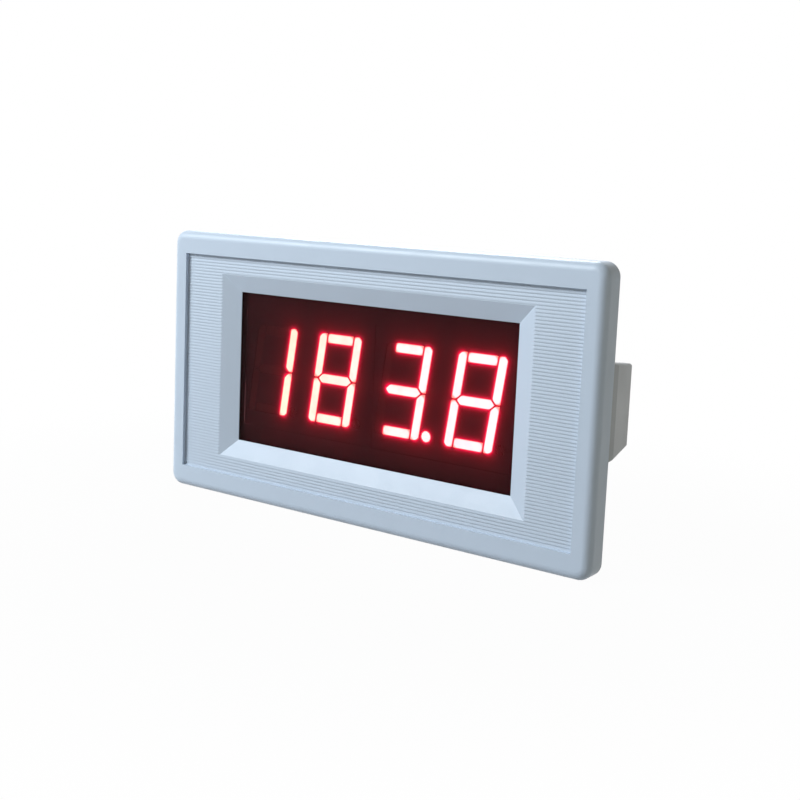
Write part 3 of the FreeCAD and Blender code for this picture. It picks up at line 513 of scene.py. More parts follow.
    def effect(self, tree: Tree, **sources: Feed) -> bpy.types.NodeOutputs:
        """Place a shared effect, feed its inputs by name and give its outputs."""
        node = self.add("ShaderNodeGroup", node_tree=tree)
        self.feed_all(node.inputs, sources)
        return node.outputs


class Effect:
    """A shader group with named inputs and outputs, built once and used by several finishes."""

    KINDS = {"Colour": "NodeSocketColor", "Normal": "NodeSocketVector"}
    NUMBER = "NodeSocketFloat"

    def __init__(self, name: str, inputs: str, outputs: str) -> None:
        """Make the empty group and its sockets.

        Args:
            name: The group's name.
            inputs: The inputs' names, with a space between two.
            outputs: The outputs' names, likewise.
        """
        self.tree = bpy.data.node_groups.new(name, "ShaderNodeTree")
        for side, words in (("INPUT", inputs), ("OUTPUT", outputs)):
            for word in words.split():
                self.tree.interface.new_socket(name=word, in_out=side,
                                               socket_type=self.KINDS.get(word, self.NUMBER))
        self.graph = Graph(self.tree)
        self.given = self.graph.add("NodeGroupInput").outputs
        self.result = self.graph.add("NodeGroupOutput").inputs

    def scale(self) -> Socket:
        """How often the pattern's given size goes into a metre."""
        return self.graph.math("DIVIDE", 1.0, self.given["Size"])

    def give(self, **sources: Feed) -> Tree:
        """Feed the group's outputs by name and hand the group over."""
        self.graph.feed_all(self.result, sources)
        return self.tree


def make_tone_drift() -> Tree:
    """A colour that drifts a little lighter and darker over the piece."""
    effect = Effect("tone_drift", "Colour Size Amount", "Colour")
    graph = effect.graph
    cloud = graph.centred(graph.noise(effect.scale(), detail=3.0))
    level = graph.math("MULTIPLY_ADD", cloud, effect.given["Amount"], 1.0)
    return effect.give(Colour=graph.scaled(effect.given["Colour"], level))


def make_handling() -> Tree:
    """Roughness with the faint smears and fine scuffs that handling leaves."""
    scuff_fineness, scuff_share = 9.0, 0.4
    effect = Effect("handling", "Roughness Amount Size", "Roughness")
    graph = effect.graph
    scale = effect.scale()
    smear = graph.noise(scale, detail=4.0, roughness=0.6)
    scuff = graph.noise(graph.math("MULTIPLY", scale, scuff_fineness), roughness=0.7)
    mixed = graph.math("MULTIPLY_ADD", scuff, scuff_share,
                       graph.math("MULTIPLY", smear, 1 - scuff_share))
    change = graph.math("MULTIPLY", graph.centred(mixed), effect.given["Amount"])
    return effect.give(Roughness=graph.math("ADD", effect.given["Roughness"], change, clamp=True))


def make_mould_grain() -> Tree:
    """The fine spark-eroded grain of a moulded face, as a height."""
    coarseness, coarse_share = 0.15, 0.5
    effect = Effect("mould_grain", "Size", "Height")
    graph = effect.graph
    scale = effect.scale()
    fine = graph.noise(scale, roughness=0.6)
    coarse = graph.noise(graph.math("MULTIPLY", scale, coarseness))
    return effect.give(Height=graph.math("MULTIPLY_ADD", coarse, coarse_share, fine))


def make_drawn_marks() -> Tree:
    """Lengthwise draw marks of metal, as a height."""
    stretch = (1.0, 0.12, 1.0)
    effect = Effect("drawn_marks", "Size", "Height")
    graph = effect.graph
    place = graph.vector("MULTIPLY", graph.place(), stretch)
    return effect.give(Height=graph.noise(effect.scale(), 3.0, 0.65, place))


def make_rib_easing() -> Tree:
    """The normal of the bezel's ribbed field with its slopes eased, as soft ribs shade."""
    sideways, forward, margin = 0.05, -0.6, 0.01
    mean_normal = (0.0, -0.985, 0.17)
    effect = Effect("rib_easing", "Amount", "Normal")
    graph = effect.graph
    normal = graph.add("ShaderNodeNewGeometry").outputs["Normal"]
    turned = graph.parts(normal)
    depth = graph.math("SUBTRACT", graph.parts(graph.place())["Y"],
                       (FIELD_DEPTH + RIB_DEPTH / 2) * MM)
    share = effect.given["Amount"]
    for test in (graph.within(turned["X"], sideways),
                 graph.math("LESS_THAN", turned["Y"], forward),
                 graph.within(depth, (RIB_DEPTH / 2 + margin) * MM)):
        share = graph.math("MULTIPLY", share, test)
    mixed = graph.blend(share, normal, mean_normal, Mix.VECTOR)
    return effect.give(Normal=graph.vector("NORMALIZE", mixed))


@dataclass(frozen=True)
class Digits:
    """Where the digits of the display stand and which of their segments are lit, in millimetres."""

    centres: Tuple[float, ...] = (-19.725, -7.025, 5.925, 18.625)
    lit: Tuple[str, ...] = ("bc", "abcdefg", "abcdg", "abcdefg")
    height: float = 14.2
    width: float = 8.2
    lean: float = 0.14
    bar: float = 1.45
    gap: float = 0.2
    point: float = 0.95
    point_digit: int = 2
    point_offset: float = 4.5
    point_radius: float = 0.85

    def lines(self) -> List[Tuple[Vector, Vector, float]]:
        """The lit segments' centre lines.

        Returns:
            For each one its two ends on the display's face, in metres, and half its width.
        """
        half = self.bar / 2
        side, top = self.width / 2 - half, self.height / 2 - half
        reach = side - self.bar - self.gap
        middle = side - self.point
        upright = {
            "a": ((-reach, top), (reach, top)),
            "b": ((side, self.point), (side, top)),
            "c": ((side, -top), (side, -self.point)),
            "d": ((-reach, -top), (reach, -top)),
            "e": ((-side, -top), (-side, -self.point)),
            "f": ((-side, self.point), (-side, top)),
            "g": ((-middle, 0), (middle, 0)),
        }
        found = []
        for centre, names in zip(self.centres, self.lit):
            for name in names:
                start, end = (Vector((centre + across + self.lean * up, 0, up)) * MM
                              for across, up in upright[name])
                found.append((start, end, half * MM))
        spot = Vector((self.centres[self.point_digit] + self.point_offset, 0,
                       self.point_radius - self.height / 2)) * MM
        found.append((spot, spot, self.point_radius * MM))
        return found


def make_segment_glow(digits: Digits) -> Tree:
    """How near a point is to the lit segments.

    Args:
        digits: The display's digits.

    Returns:
        A group whose Edge is strongest right beside one segment and fades in the thin walls
        between two, whose Total adds up what all segments send, whose Distance is to the nearest
        segment in millimetres, and whose Depth is how far inside it is.
    """
    wall_from, wall_to, wall_share = 0.25, 0.9, 0.3
    effect = Effect("segment_glow", "Reach", "Edge Total Distance Depth")
    graph = effect.graph
    flat = graph.vector("MULTIPLY", graph.place(), (1, 0, 1))
    nearest, strongest, total = None, None, None
    for start, end, radius in digits.lines():
        run = end - start
        away = graph.vector("SUBTRACT", flat, start)
        if run.length > 0:
            along = graph.vector("DOT_PRODUCT", away, run / run.length_squared)
            held = graph.math("MULTIPLY", along, 1.0, clamp=True)
            away = graph.vector("SUBTRACT", away, graph.scaled(run, held))
        length = graph.vector("LENGTH", away)
        gap = graph.math("DIVIDE", graph.math("SUBTRACT", length, radius), MM)
        glow = graph.decay(graph.math("MAXIMUM", gap, 0.0), effect.given["Reach"])
        nearest = gap if nearest is None else graph.math("MINIMUM", nearest, gap)
        strongest = glow if strongest is None else graph.math("MAXIMUM", strongest, glow)
        total = glow if total is None else graph.math("ADD", total, glow)
    others = graph.math("SUBTRACT", total, strongest)
    alone = graph.span(others, wall_from, wall_to, 1.0, wall_share, smooth=True)
    return effect.give(Edge=graph.math("MULTIPLY", strongest, alone), Total=total,
                       Distance=graph.math("MAXIMUM", nearest, 0.0),
                       Depth=graph.math("MULTIPLY", nearest, -1.0))


TONE_DRIFT = make_tone_drift()
HANDLING = make_handling()
MOULD_GRAIN = make_mould_grain()
DRAWN_MARKS = make_drawn_marks()
RIB_EASING = make_rib_easing()
SEGMENT_GLOW = make_segment_glow(Digits())


def new_paint(name: str) -> Tuple[Material, Graph, bpy.types.Node]:
    """A new material with its graph and its shader."""
    material = bpy.data.materials.new(name)
    material.use_nodes = True
    return material, Graph(material.node_tree), material.node_tree.nodes["Principled BSDF"]


@dataclass(frozen=True)
class Finish:
    """A material of the meter.

    Drift and handling each give a size in millimetres and an amount, for the slow change of the
    colour and for the marks in the roughness.
    """

    name: str
    colour: Colour
    roughness: float = 0.45
    drift: Flat = (9.0, 0.08)
    handling: Flat = (5.0, 0.35)

    def build(self) -> Material:
        """Make the material, with wear on the colour and the roughness that its kind gives."""
        material, graph, shader = new_paint(self.name)
        shade = {"Base_Color": self.colour, "Roughness": self.roughness, **self.shade(graph)}
        tone = graph.effect(TONE_DRIFT, Colour=shade["Base_Color"], Size=self.drift[0] * MM,
                            Amount=self.drift[1])
        marks = graph.effect(HANDLING, Roughness=shade["Roughness"], Size=self.handling[0] * MM,
                             Amount=self.handling[1])
        shade.update(Base_Color=tone["Colour"], Roughness=marks["Roughness"])
        graph.feed_all(shader.inputs, shade)
        return material

    def shade(self, graph: Graph) -> Shade:
        """What this kind of finish feeds the shader's sockets."""
        raise NotImplementedError


@dataclass(frozen=True)
class Moulded(Finish):
    """Moulded plastic with a fine grain, a slight drift of tone and faint handling marks.

    Behind the panel the colour fades to a darker, duller one: painted shade for the shadow that
    falls there behind the flange.
    Eased says how far the slopes of the ribs are turned toward the field's mean direction.
    """

    # Painted shade: the darker colour behind the panel and the depth in millimetres over which it
    # fades in.
    painted_shade_colour: Optional[Colour] = None
    painted_shade_over: float = 0.8
    grain_size: float = 0.12
    grain_depth: float = 0.006
    eased: float = 0.0

    def shade(self, graph: Graph) -> Shade:
        """Grain, painted shade behind the panel, and eased ribs.

        Args:
            graph: The material's graph.

        Returns:
            What the shader's sockets are fed.
        """
        colour: Feed = self.colour
        # Painted shade: darker behind the panel, where the flange shades the moulding.
        if self.painted_shade_colour is not None:
            behind = graph.span(graph.parts(graph.place())["Y"], 0.0, self.painted_shade_over * MM,
                                smooth=True)
            colour = graph.blend(behind, self.colour, self.painted_shade_colour)
        grain = graph.effect(MOULD_GRAIN, Size=self.grain_size * MM)["Height"]
        soft = graph.effect(RIB_EASING, Amount=self.eased)["Normal"] if self.eased > 0 else None
        return {"Base_Color": colour,
                "Normal": graph.bump(grain, self.grain_depth * MM, normal=soft)}


@dataclass(frozen=True)
class Metal(Finish):
    """Plated or turned metal with draw marks and an uneven shine."""

    drift: Flat = (1.6, 0.3)
    handling: Flat = (1.2, 0.5)
    marks: float = 0.08
    depth: float = 0.004

    def shade(self, graph: Graph) -> Shade:
        """Draw marks on bare metal."""
        marks = graph.effect(DRAWN_MARKS, Size=self.marks * MM)["Height"]
        return {"Metallic": 1.0, "Normal": graph.bump(marks, self.depth * MM)}


@dataclass(frozen=True)
class SmokedFilter(Finish):
    """Clear polished acrylic tinted a smoky red."""

    name: str = "red_filter"
    colour: Colour = (0.6, 0.24, 0.27)
    roughness: float = 0.04
    drift: Flat = (14.0, 0.12)
    handling: Flat = (6.0, 0.012)
    bend: float = 1.14

    def shade(self, graph: Graph) -> Shade:
        """It lets all light through and bends it a little."""
        return {"Transmission_Weight": 1.0, "IOR": self.bend}


@dataclass(frozen=True)
class DisplayFace(Finish):
    """The display's dark face with a painted glow: red emission beside the lit segments stands for
    their light spreading over it.
    """

    roughness: float = 0.6
    drift: Flat = (6.0, 0.2)
    handling: Flat = (4.0, 0.15)
    gloss: float = 0.3
    edge: Colour = (1.8, 0.0, 0.22)
    edge_reach: float = 0.23
    wash: Colour = (1.0, 0.05, 0.09)
    near_reach: float = 1.0
    near_share: float = 0.18
    far_reach: float = 4.5
    far_share: float = 0.04
    face_depth: float = 0.3

    def shade(self, graph: Graph) -> Shade:
        """The painted glow beside the segments, which only the front face has.

        Args:
            graph: The material's graph.

        Returns:
            What the shader's sockets are fed.
        """
        # Painted glow: the face emits red light near the lit segments, for the halo their light
        # spreads over the window.
        beside = graph.effect(SEGMENT_GLOW, Reach=self.edge_reach)
        near = graph.effect(SEGMENT_GLOW, Reach=self.near_reach)["Total"]
        far = graph.math("MULTIPLY", graph.decay(beside["Distance"], self.far_reach),
                         self.far_share)
        level = graph.math("MULTIPLY_ADD", near, self.near_share, far)
        light = graph.vector("ADD", graph.scaled(self.edge, beside["Edge"]),
                             graph.scaled(self.wash, level))
        front = graph.span(graph.parts(graph.place())["Y"], 0.0, self.face_depth * MM, 1.0, 0.0)
        return {"Specular_IOR_Level": self.gloss, "Emission_Strength": 1.0,
                "Emission_Color": graph.scaled(light, front)}


@dataclass(frozen=True)
class LitWindow(Finish):
    """A segment's diffusing window with the light behind it, whitest along its middle."""

    name: str = "segment_lit"
    colour: Colour = (0.8, 0.55, 0.5)
    roughness: float = 0.5
    drift: Flat = (6.0, 0.0)
    handling: Flat = (2.0, 0.2)
    left: Colour = (1.0, 0.96, 0.62)
    right: Colour = (1.0, 1.0, 0.96)
    reach: float = 20.0
    rim: Colour = (0.9, 0.36, 0.26)
    rim_outside: float = -0.12
    rim_width: float = 0.24
    mottle: float = 900.0
    mottle_span: Flat = (0.3, 0.7)
    mottle_low: float = 0.85
    strength: float = 4.3

    def shade(self, graph: Graph) -> Shade:
        """The light's colour by place and depth, and its faint mottle.

        Args:
            graph: The material's graph.

        Returns:
            What the shader's sockets are fed.
        """
        across = graph.parts(graph.place())["X"]
        share = graph.span(across, -self.reach * MM, self.reach * MM)
        depth = graph.effect(SEGMENT_GLOW, Reach=self.rim_width)["Depth"]
        inside = graph.span(depth, self.rim_outside, self.rim_width, smooth=True)
        light = graph.blend(inside, self.rim, graph.blend(share, self.left, self.right))
        level = graph.span(graph.noise(self.mottle), *self.mottle_span, self.mottle_low, 1.0)
        return {"Emission_Color": graph.scaled(light, level), "Emission_Strength": self.strength}


@dataclass(frozen=True)
class Laminate(Finish):
    """Glass laminate under green lacquer, its weave showing faintly, with bare sawn edges."""

    name: str = "board_laminate"
    colour: Colour = (0.02, 0.17, 0.075)
    roughness: float = 0.28
    drift: Flat = (8.0, 0.2)
    handling: Flat = (4.0, 0.3)
    bare: Colour = (0.42, 0.38, 0.17)
    bare_roughness: float = 0.68
    half_width: float = 33.0
    half_height: float = 18.0
    edge: float = 0.02
    weave: float = 0.6
    weave_tone: float = 0.08
    weave_depth: float = 0.008
    weave_strength: float = 0.5

    def shade(self, graph: Graph) -> Shade:
        """Lacquered cloth inside the board's outline and bare laminate on it.

        Args:
            graph: The material's graph.

        Returns:
            What the shader's sockets are fed.
        """
        parts = graph.parts(graph.place())
        rate = 2 * math.pi / (self.weave * MM)
        warp, weft = (graph.math("SINE", graph.math("MULTIPLY", parts[axis], rate))
                      for axis in ("X", "Z"))
        cloth = graph.math("MULTIPLY", warp, weft)
        woven = graph.scaled(self.colour, graph.math("MULTIPLY_ADD", cloth, self.weave_tone, 1.0))
        coated = graph.math("MULTIPLY",
                            graph.within(parts["X"], (self.half_width - self.edge) * MM),
                            graph.within(parts["Z"], (self.half_height - self.edge) * MM))
        return {"Base_Color": graph.blend(coated, self.bare, woven),
                "Roughness": graph.span(coated, 0.0, 1.0, self.bare_roughness, self.roughness),
                "Normal": graph.bump(cloth, self.weave_depth * MM, self.weave_strength)}


@dataclass(frozen=True)
class Banded(Finish):
    """A resistor's lacquer with plain colour bands round it."""

    colour: Colour = (0.56, 0.4, 0.22)
    roughness: float = 0.3
    drift: Flat = (1.5, 0.2)
    handling: Flat = (1.0, 0.25)
    centre: float = 0.0
    bands: Tuple[Colour, ...] = ()
    coat: float = 0.4
    band: float = 0.55
    places: Tuple[float, ...] = (-2.35, -1.15, -0.15, 2.3)
    wander: float = 0.12
    wander_scale: float = 900.0

    def shade(self, graph: Graph) -> Shade:
        """Bands with slightly uneven edges.

        Args:
            graph: The material's graph.

        Returns:
            What the shader's sockets are fed.
        """
        colour: Feed = self.colour
        uneven = graph.math("MULTIPLY", graph.centred(graph.noise(self.wander_scale)),
                            self.wander * MM)
        along = graph.math("ADD", graph.parts(graph.place())["X"], uneven)
        for tint, place in zip(self.bands, self.places):
            off = graph.math("SUBTRACT", along, (self.centre + place) * MM)
            colour = graph.blend(graph.within(off, self.band / 2 * MM), colour, tint)
        return {"Base_Color": colour, "Coat_Weight": self.coat}


@dataclass(frozen=True)
class Sleeve(Finish):
    """The can's shrunk sleeve, with a plain pale stripe and a bare, scored metal top."""

    name: str = "can_sleeve"
    colour: Colour = (0.012, 0.02, 0.06)
    roughness: float = 0.3
    drift: Flat = (3.0, 0.15)
    handling: Flat = (2.0, 0.25)
    stripe: Colour = (0.5, 0.52, 0.55)
    stripe_turn: float = 0.6
    stripe_half: float = 0.42
    metal: Colour = (0.78, 0.79, 0.8)
    top: float = 18.0
    lip: float = 2.35
    score: Flat = (0.05, 0.14)
    score_depth: float = 0.12

    def shade(self, graph: Graph) -> Shade:
        """The stripe by its turn round the axis, and the top inside the lip.

        Args:
            graph: The material's graph.

        Returns:
            What the shader's sockets are fed.
        """
        origin = (CAN_PLACE[0] * MM, self.top * MM, CAN_PLACE[1] * MM)
        own = graph.vector("SUBTRACT", graph.place(), origin)
        parts = graph.parts(own)
        turn = graph.math("ARCTAN2", parts["Z"], parts["X"])
        striped = graph.within(graph.math("ADD", turn, self.stripe_turn), self.stripe_half)
        away = graph.vector("LENGTH", graph.vector("MULTIPLY", own, (1, 0, 1)))
        bare = graph.math("LESS_THAN", away, self.lip * MM)
        cross = graph.math("MINIMUM", *(graph.math("ABSOLUTE", parts[axis]) for axis in ("X", "Z")))
        scored = graph.span(cross, self.score[0] * MM, self.score[1] * MM, smooth=True)
        wrap = graph.blend(striped, self.colour, self.stripe)
        dip = graph.math("MULTIPLY", scored, bare)
        return {"Base_Color": graph.blend(bare, wrap, self.metal), "Metallic": bare,
                "Normal": graph.bump(dip, self.score_depth * MM)}


class Finishes:
    """Every finish that whole nodes show, by its slot in the record."""

    def __init__(self) -> None:
        """Build the finishes."""
        kinds = (
            # The bezel is painted a darker shade behind the panel.
            Moulded("bezel_plastic", (0.60, 0.68, 0.79), 0.42, (9.0, 0.05),
                    painted_shade_colour=(0.42, 0.44, 0.455), grain_size=0.09, grain_depth=0.004,
                    eased=0.93),
            SmokedFilter(),
            # The display faces carry a painted glow beside the lit segments.
            DisplayFace("display_shell", (0.03, 0.03, 0.034)),
            DisplayFace("segment_dark", (0.05, 0.035, 0.035), 0.45),
            LitWindow(),
            Metal("tinned_lead", (0.72, 0.72, 0.70), 0.3),
            Laminate(),
            Metal("zinc_screw", (0.70, 0.71, 0.72), 0.22),
            Moulded("chip_resin", (0.014, 0.014, 0.015), 0.5, (9.0, 0.3), grain_size=0.07,
                    grain_depth=0.008),
            Moulded("film_case", (0.72, 0.44, 0.035), 0.3, (9.0, 0.15), grain_depth=0.003),
            Moulded("trimmer_plastic", (0.015, 0.09, 0.38), 0.35, grain_depth=0.004),
            Metal("adjuster_brass", (0.78, 0.56, 0.22), 0.3),
            Moulded("terminal_plastic", (0.015, 0.22, 0.075), 0.42, grain_depth=0.005),
            Metal("contact_brass", (0.76, 0.62, 0.38), 0.32),
            Metal("clamp_steel", (0.62, 0.63, 0.64), 0.3),
            Sleeve(),
        )
        self.by_slot = {kind.name: kind.build() for kind in kinds}

    def __getitem__(self, slot: str) -> Material:
        """The finish of a slot."""
        return self.by_slot[slot]


@dataclass
class CadDress:
    """Gives each CAD node the finish of its slot, found by its name."""

    finishes: Finishes

    TINNED = ("_leads", "_pins")
    SLOTS = {
        "front_bezel": "bezel_plastic", "filter_window": "red_filter",
        "display_": "display_shell", "segments_lit": "segment_lit",
        "segments_dark": "segment_dark", "main_board": "board_laminate",
        "board_screws": "zinc_screw", "terminal_screw": "zinc_screw",
        "converter_chip": "chip_resin", "charge_pump_chip": "chip_resin",
        "resistors": "film_case", "film_capacitors": "film_case",
        "can_capacitor": "can_sleeve", "trimmer_body": "trimmer_plastic",
        "trimmer_adjuster": "adjuster_brass", "terminal_housing": "terminal_plastic",
        "terminal_contacts": "contact_brass", "terminal_clamp": "clamp_steel",
    }

    def slot(self, name: str) -> str:
        """A node's slot, by the end of its name or else by its start."""
        if name.endswith(self.TINNED):
            return "tinned_lead"
        return next(slot for start, slot in self.SLOTS.items() if name.startswith(start))

    def dress(self) -> None:
        """Give every node its finish."""
        for name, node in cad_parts.items():
            finish = self.finishes[self.slot(name)]
            for place in node.material_slots:
                place.material = finish
            if not node.material_slots:
                node.data.materials.append(finish)
        LOG.info("%d CAD nodes dressed", len(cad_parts))


@dataclass
class Extra:
    """Something modelled here and fixed to the case."""

    finishes: Finishes

    def show(self, piece: Object, slot: str, *nodes: str) -> None:
        """Give a piece the finish of a slot, fix it to the case and hide the nodes that it stands
        for.
        """
        fix(piece, slot, self.finishes[slot], *nodes)


@dataclass
class SegmentWindows(Extra):
    """The display's light windows, worked up from the CAD solids with rounded corners."""

    corner: float = 0.22
    steps: int = 3
    clearance: float = 0.07
    deep: float = 0.3
    upright: float = 0.01

    def build(self, node: str, slot: str) -> None:
        """Round the corners of one node's windows, which stand for the node.

        Args:
            node: The node's name.
            slot: The slot of its finish.
        """
        piece = from_node(node)
        choose_edges(piece, lambda run: abs(run.y) > self.deep * MM
                           and abs(run.x) + abs(run.z) < self.upright * MM)
        bpy.ops.mesh.bevel(offset=self.corner * MM, segments=self.steps, affect="EDGES")
        bpy.ops.mesh.select_all(action="SELECT")
        bpy.ops.transform.shrink_fatten(value=-self.clearance * MM)
        leave()
        settle(piece, f"{node}_window", angle=30)
        piece.visible_diffuse = False
        self.show(piece, slot, node)

    def build_all(self) -> None:
        """Make the windows of every digit."""
        for number in range(1, 5):
            self.build(f"segments_lit_{number}", "segment_lit")
        for side in ("left", "right"):
            self.build(f"segments_dark_{side}", "segment_dark")


@dataclass
class MaskCard(Extra):
    """The dark card behind the filter that frames the two display modules."""

    half_width: float = 27.8
    half_height: float = 14.1
    module_edge: float = 25.49
    module_top: float = 9.515
    half_bar: float = 0.55
    front: float = -0.69
    back: float = -0.61
    easing: float = 0.01
    corner: float = 0.2
    overrun: float = 1.0

    def build(self) -> None:
        """Model the card and cut an opening for each module."""
        card = block((-self.half_width, self.front, -self.half_height),
                     (self.half_width, self.back, self.half_height), self.easing, 1)
        for start, end in ((-self.module_edge, -self.half_bar), (self.half_bar, self.module_edge)):
            opening = block((start, self.front - self.overrun, -self.module_top),
                            (end, self.back + self.overrun, self.module_top), self.corner, 2)
            cut_out(card, opening)
        # The card takes the display face's finish, painted glow included.
        self.show(settle(card, "mask_card"), "display_shell")


@dataclass
class BoardScrews(Extra):
    """Four pan-head screws with a straight slot.

    The shaft's and the head's rows give each ring's radius and its height over the seat.
    """

    across: float = 30.0
    up: float = 15.0
    shaft: Tuple[Flat, ...] = ((0.525, -8.0), (1.05, -7.2), (1.05, -0.02))
    head: Tuple[Flat, ...] = ((2.304, 0.0), (2.4, 0.08), (2.4, 0.62), (2.328, 0.9),
                              (2.112, 1.18), (1.728, 1.4), (1.2, 1.54), (0.48, 1.6))
    sides: int = 40
    slot_width: float = 0.7
    slot_depth: float = 0.8
    slot_easing: float = 0.06
    past_sides: float = 0.5
    past_top: float = 0.6

    def build(self) -> None:
        """Model one screw, cut its slot and copy it to the four corners."""
        screw = stack((0, BOARD_BACK * MM, 0), self.shaft + self.head, self.sides)
        top = BOARD_BACK + self.head[-1][1]
        reach = self.head[1][0] + self.past_sides
        slot = block((-reach, top - self.slot_depth, -self.slot_width / 2),
                     (reach, top + self.past_top, self.slot_width / 2), self.slot_easing, 2)
        cut_out(screw, slot)
        places = [(x * MM, 0, z * MM) for x in (-self.across, self.across)
                  for z in (-self.up, self.up)]
        self.show(join_up(copy_to(screw, places), "pan_head_screws"), "zinc_screw",
                  "board_screws")


@dataclass
class Resistors(Extra):
    """Four axial resistors with swollen ends, colour bands and smoothly bent leads.

    The ending's rows give a ring's radius and how far inside the body's end it lies.
    """

    axis_depth: float = 12.25
    length: float = 6.3
    ending: Tuple[Flat, ...] = ((0.45, 0), (0.8, 0.08), (1.03, 0.28), (1.14, 0.6), (1.14, 1.05),
                                (1.05, 1.4), (0.98, 1.75))
    wire: float = 0.3
    hidden: float = 0.2
    bend: float = 0.8
    projection: float = 1.1
    turns: int = 6

    BROWN, BLACK, RED = (0.12, 0.035, 0.012), (0.01, 0.01, 0.01), (0.45, 0.012, 0.01)
    ORANGE, YELLOW = (0.7, 0.16, 0.01), (0.72, 0.5, 0.02)
    VIOLET, GOLD = (0.16, 0.04, 0.3), (0.55, 0.36, 0.1)
    CODES = ((YELLOW, VIOLET, ORANGE, GOLD), (BROWN, BLACK, YELLOW, GOLD),
             (RED, RED, ORANGE, GOLD), (BROWN, BLACK, RED, GOLD))

    def body(self, number: int, centre: float) -> Object:
        """One lacquered body, turned round its own axis along X.

        Args:
            number: The resistor's number.
            centre: Its middle along X.

        Returns:
            The body.
        """
        half = self.length / 2
        shape = [(radius, inset - half) for radius, inset in self.ending]
        shape += [(radius, half - inset) for radius, inset in reversed(self.ending)]
        piece = stack((0, 0, 0), shape, 28)
        piece.rotation_euler = (0, 0, -math.pi / 2)
        piece.location = Vector((centre, self.axis_depth, RESISTOR_UP)) * MM
        return settle(piece, f"resistor_{number}", angle=60)

    def lead(self) -> Object:
        """One lead from a body's right end, bent round to the board."""
        start = Vector((self.length / 2 - self.hidden, self.axis_depth, RESISTOR_UP)) * MM
        piece = disc(start, self.wire, 12, (0, math.pi / 2, 0))
        elbow = RESISTOR_SPAN / 2 - self.bend
        extrude((elbow * MM - start.x, 0, 0))
        pivot = Vector((elbow, self.axis_depth - self.bend, RESISTOR_UP)) * MM
        for _ in range(self.turns):
            extrude((0, 0, 0))
            bpy.ops.transform.rotate(value=math.pi / 2 / self.turns, orient_axis="Z",
                                     center_override=pivot)
        drop = BOARD_FRONT - self.projection - (self.axis_depth - self.bend)
        extrude((0, drop * MM, 0))
        close_up()
        return piece

    def build(self) -> None:
        """Make the bodies and their leads."""
        for number, (centre, bands) in enumerate(zip(RESISTOR_CENTRES, self.CODES), start=1):
            finish = Banded(f"resistor_lacquer_{number}", centre=centre, bands=bands).build()
            nodes = ("resistors",) if number == 1 else ()
            fix(self.body(number, centre), "resistor_lacquer", finish, *nodes)
        right = self.lead()
        left = double(right)
        take(left)
        left.scale = (-1, 1, 1)
        freeze()
        edit_all()
        close_up()
        offsets = [(centre * MM, 0, 0) for centre in RESISTOR_CENTRES]
        wires = copy_to(right, offsets) + copy_to(left, offsets)
        self.show(join_up(wires, "resistor_wires"), "tinned_lead", "resistor_leads")


@dataclass
class Capacitors(Extra):
    """The row of film capacitors and the electrolytic can.

    The can's profile gives each ring's radius and its height over the board.
    """

    film_across: float = 22.6
    film_rows: Tuple[float, ...] = (-13.0, -9.7, -6.4)
    film_length: float = 7.2
    film_width: float = 2.5
    film_height: float = 6.5
    film_rise: float = 0.5
    film_easing: float = 0.32
    can_profile: Tuple[Flat, ...] = (
        (2.7, 0.2), (3.05, 0.26), (3.15, 0.45), (3.15, 1.3), (3.1, 1.45), (2.93, 1.62),
        (2.87, 1.8), (2.93, 1.98), (3.1, 2.15), (3.15, 2.3), (3.15, 6.75), (3.1, 6.98),
        (2.98, 7.12), (2.8, 7.19), (2.55, 7.2), (2.4, 7.16), (2.35, 7.08), (1.2, 7.06))

    def build_film(self) -> None:
        """Three box capacitors with eased edges."""
        low = BOARD_BACK + self.film_rise
        half_length, half_width = self.film_length / 2, self.film_width / 2
        box = block((self.film_across - half_length, low, -half_width),
                    (self.film_across + half_length, low + self.film_height, half_width),
                    self.film_easing, 4)
        boxes = copy_to(box, [(0, 0, row * MM) for row in self.film_rows])
        self.show(join_up(boxes, "film_boxes"), "film_case", "film_capacitors")

    def build_can(self) -> None:
        """The can with its rolled crimp, shrunk lip and dished top."""
        centre = (CAN_PLACE[0] * MM, BOARD_BACK * MM, CAN_PLACE[1] * MM)
        can = stack(centre, self.can_profile, 48)
        self.show(settle(can, "sleeved_can", angle=50), "can_sleeve", "can_capacitor")


@dataclass
class Solder(Extra):
    """Solder collars round every lead that comes out on the board's back.

    Each row of parts gives the middle of its leads, how many there are, and their Z rows.
    """

    profile: Tuple[Flat, ...] = ((0.63, -0.01), (0.63, 0.06), (0.56, 0.08), (0.46, 0.15),
                                 (0.38, 0.28), (0.34, 0.3))

    ROWS = (
        (-MODULE_ACROSS, 9, (-PIN_ROW, PIN_ROW)),
        (MODULE_ACROSS, 9, (-PIN_ROW, PIN_ROW)),
        (0.0, 20, (CHIP_UP - PIN_ROW, CHIP_UP + PIN_ROW)),
        (-17.9, 4, (-10.9 - PIN_ROW / 2, -10.9 + PIN_ROW / 2)),
    )

    def places(self) -> List[Flat]:
        """Where the leads are, as X and Z in millimetres."""
        found = [(middle + (column - (count - 1) / 2) * LEAD_PITCH, row)
                 for middle, count, rows in self.ROWS for column in range(count) for row in rows]
        return found + [(across, RESISTOR_UP) for across in RESISTOR_LEADS]

    def build(self) -> None:
        """Model one collar and copy it to every lead."""
        collar = stack((0, BOARD_BACK * MM, 0), self.profile, 14)
        copies = copy_to(collar, [(x * MM, 0, z * MM) for x, z in self.places()])
        self.show(join_up(copies, "solder_collars"), "tinned_lead")


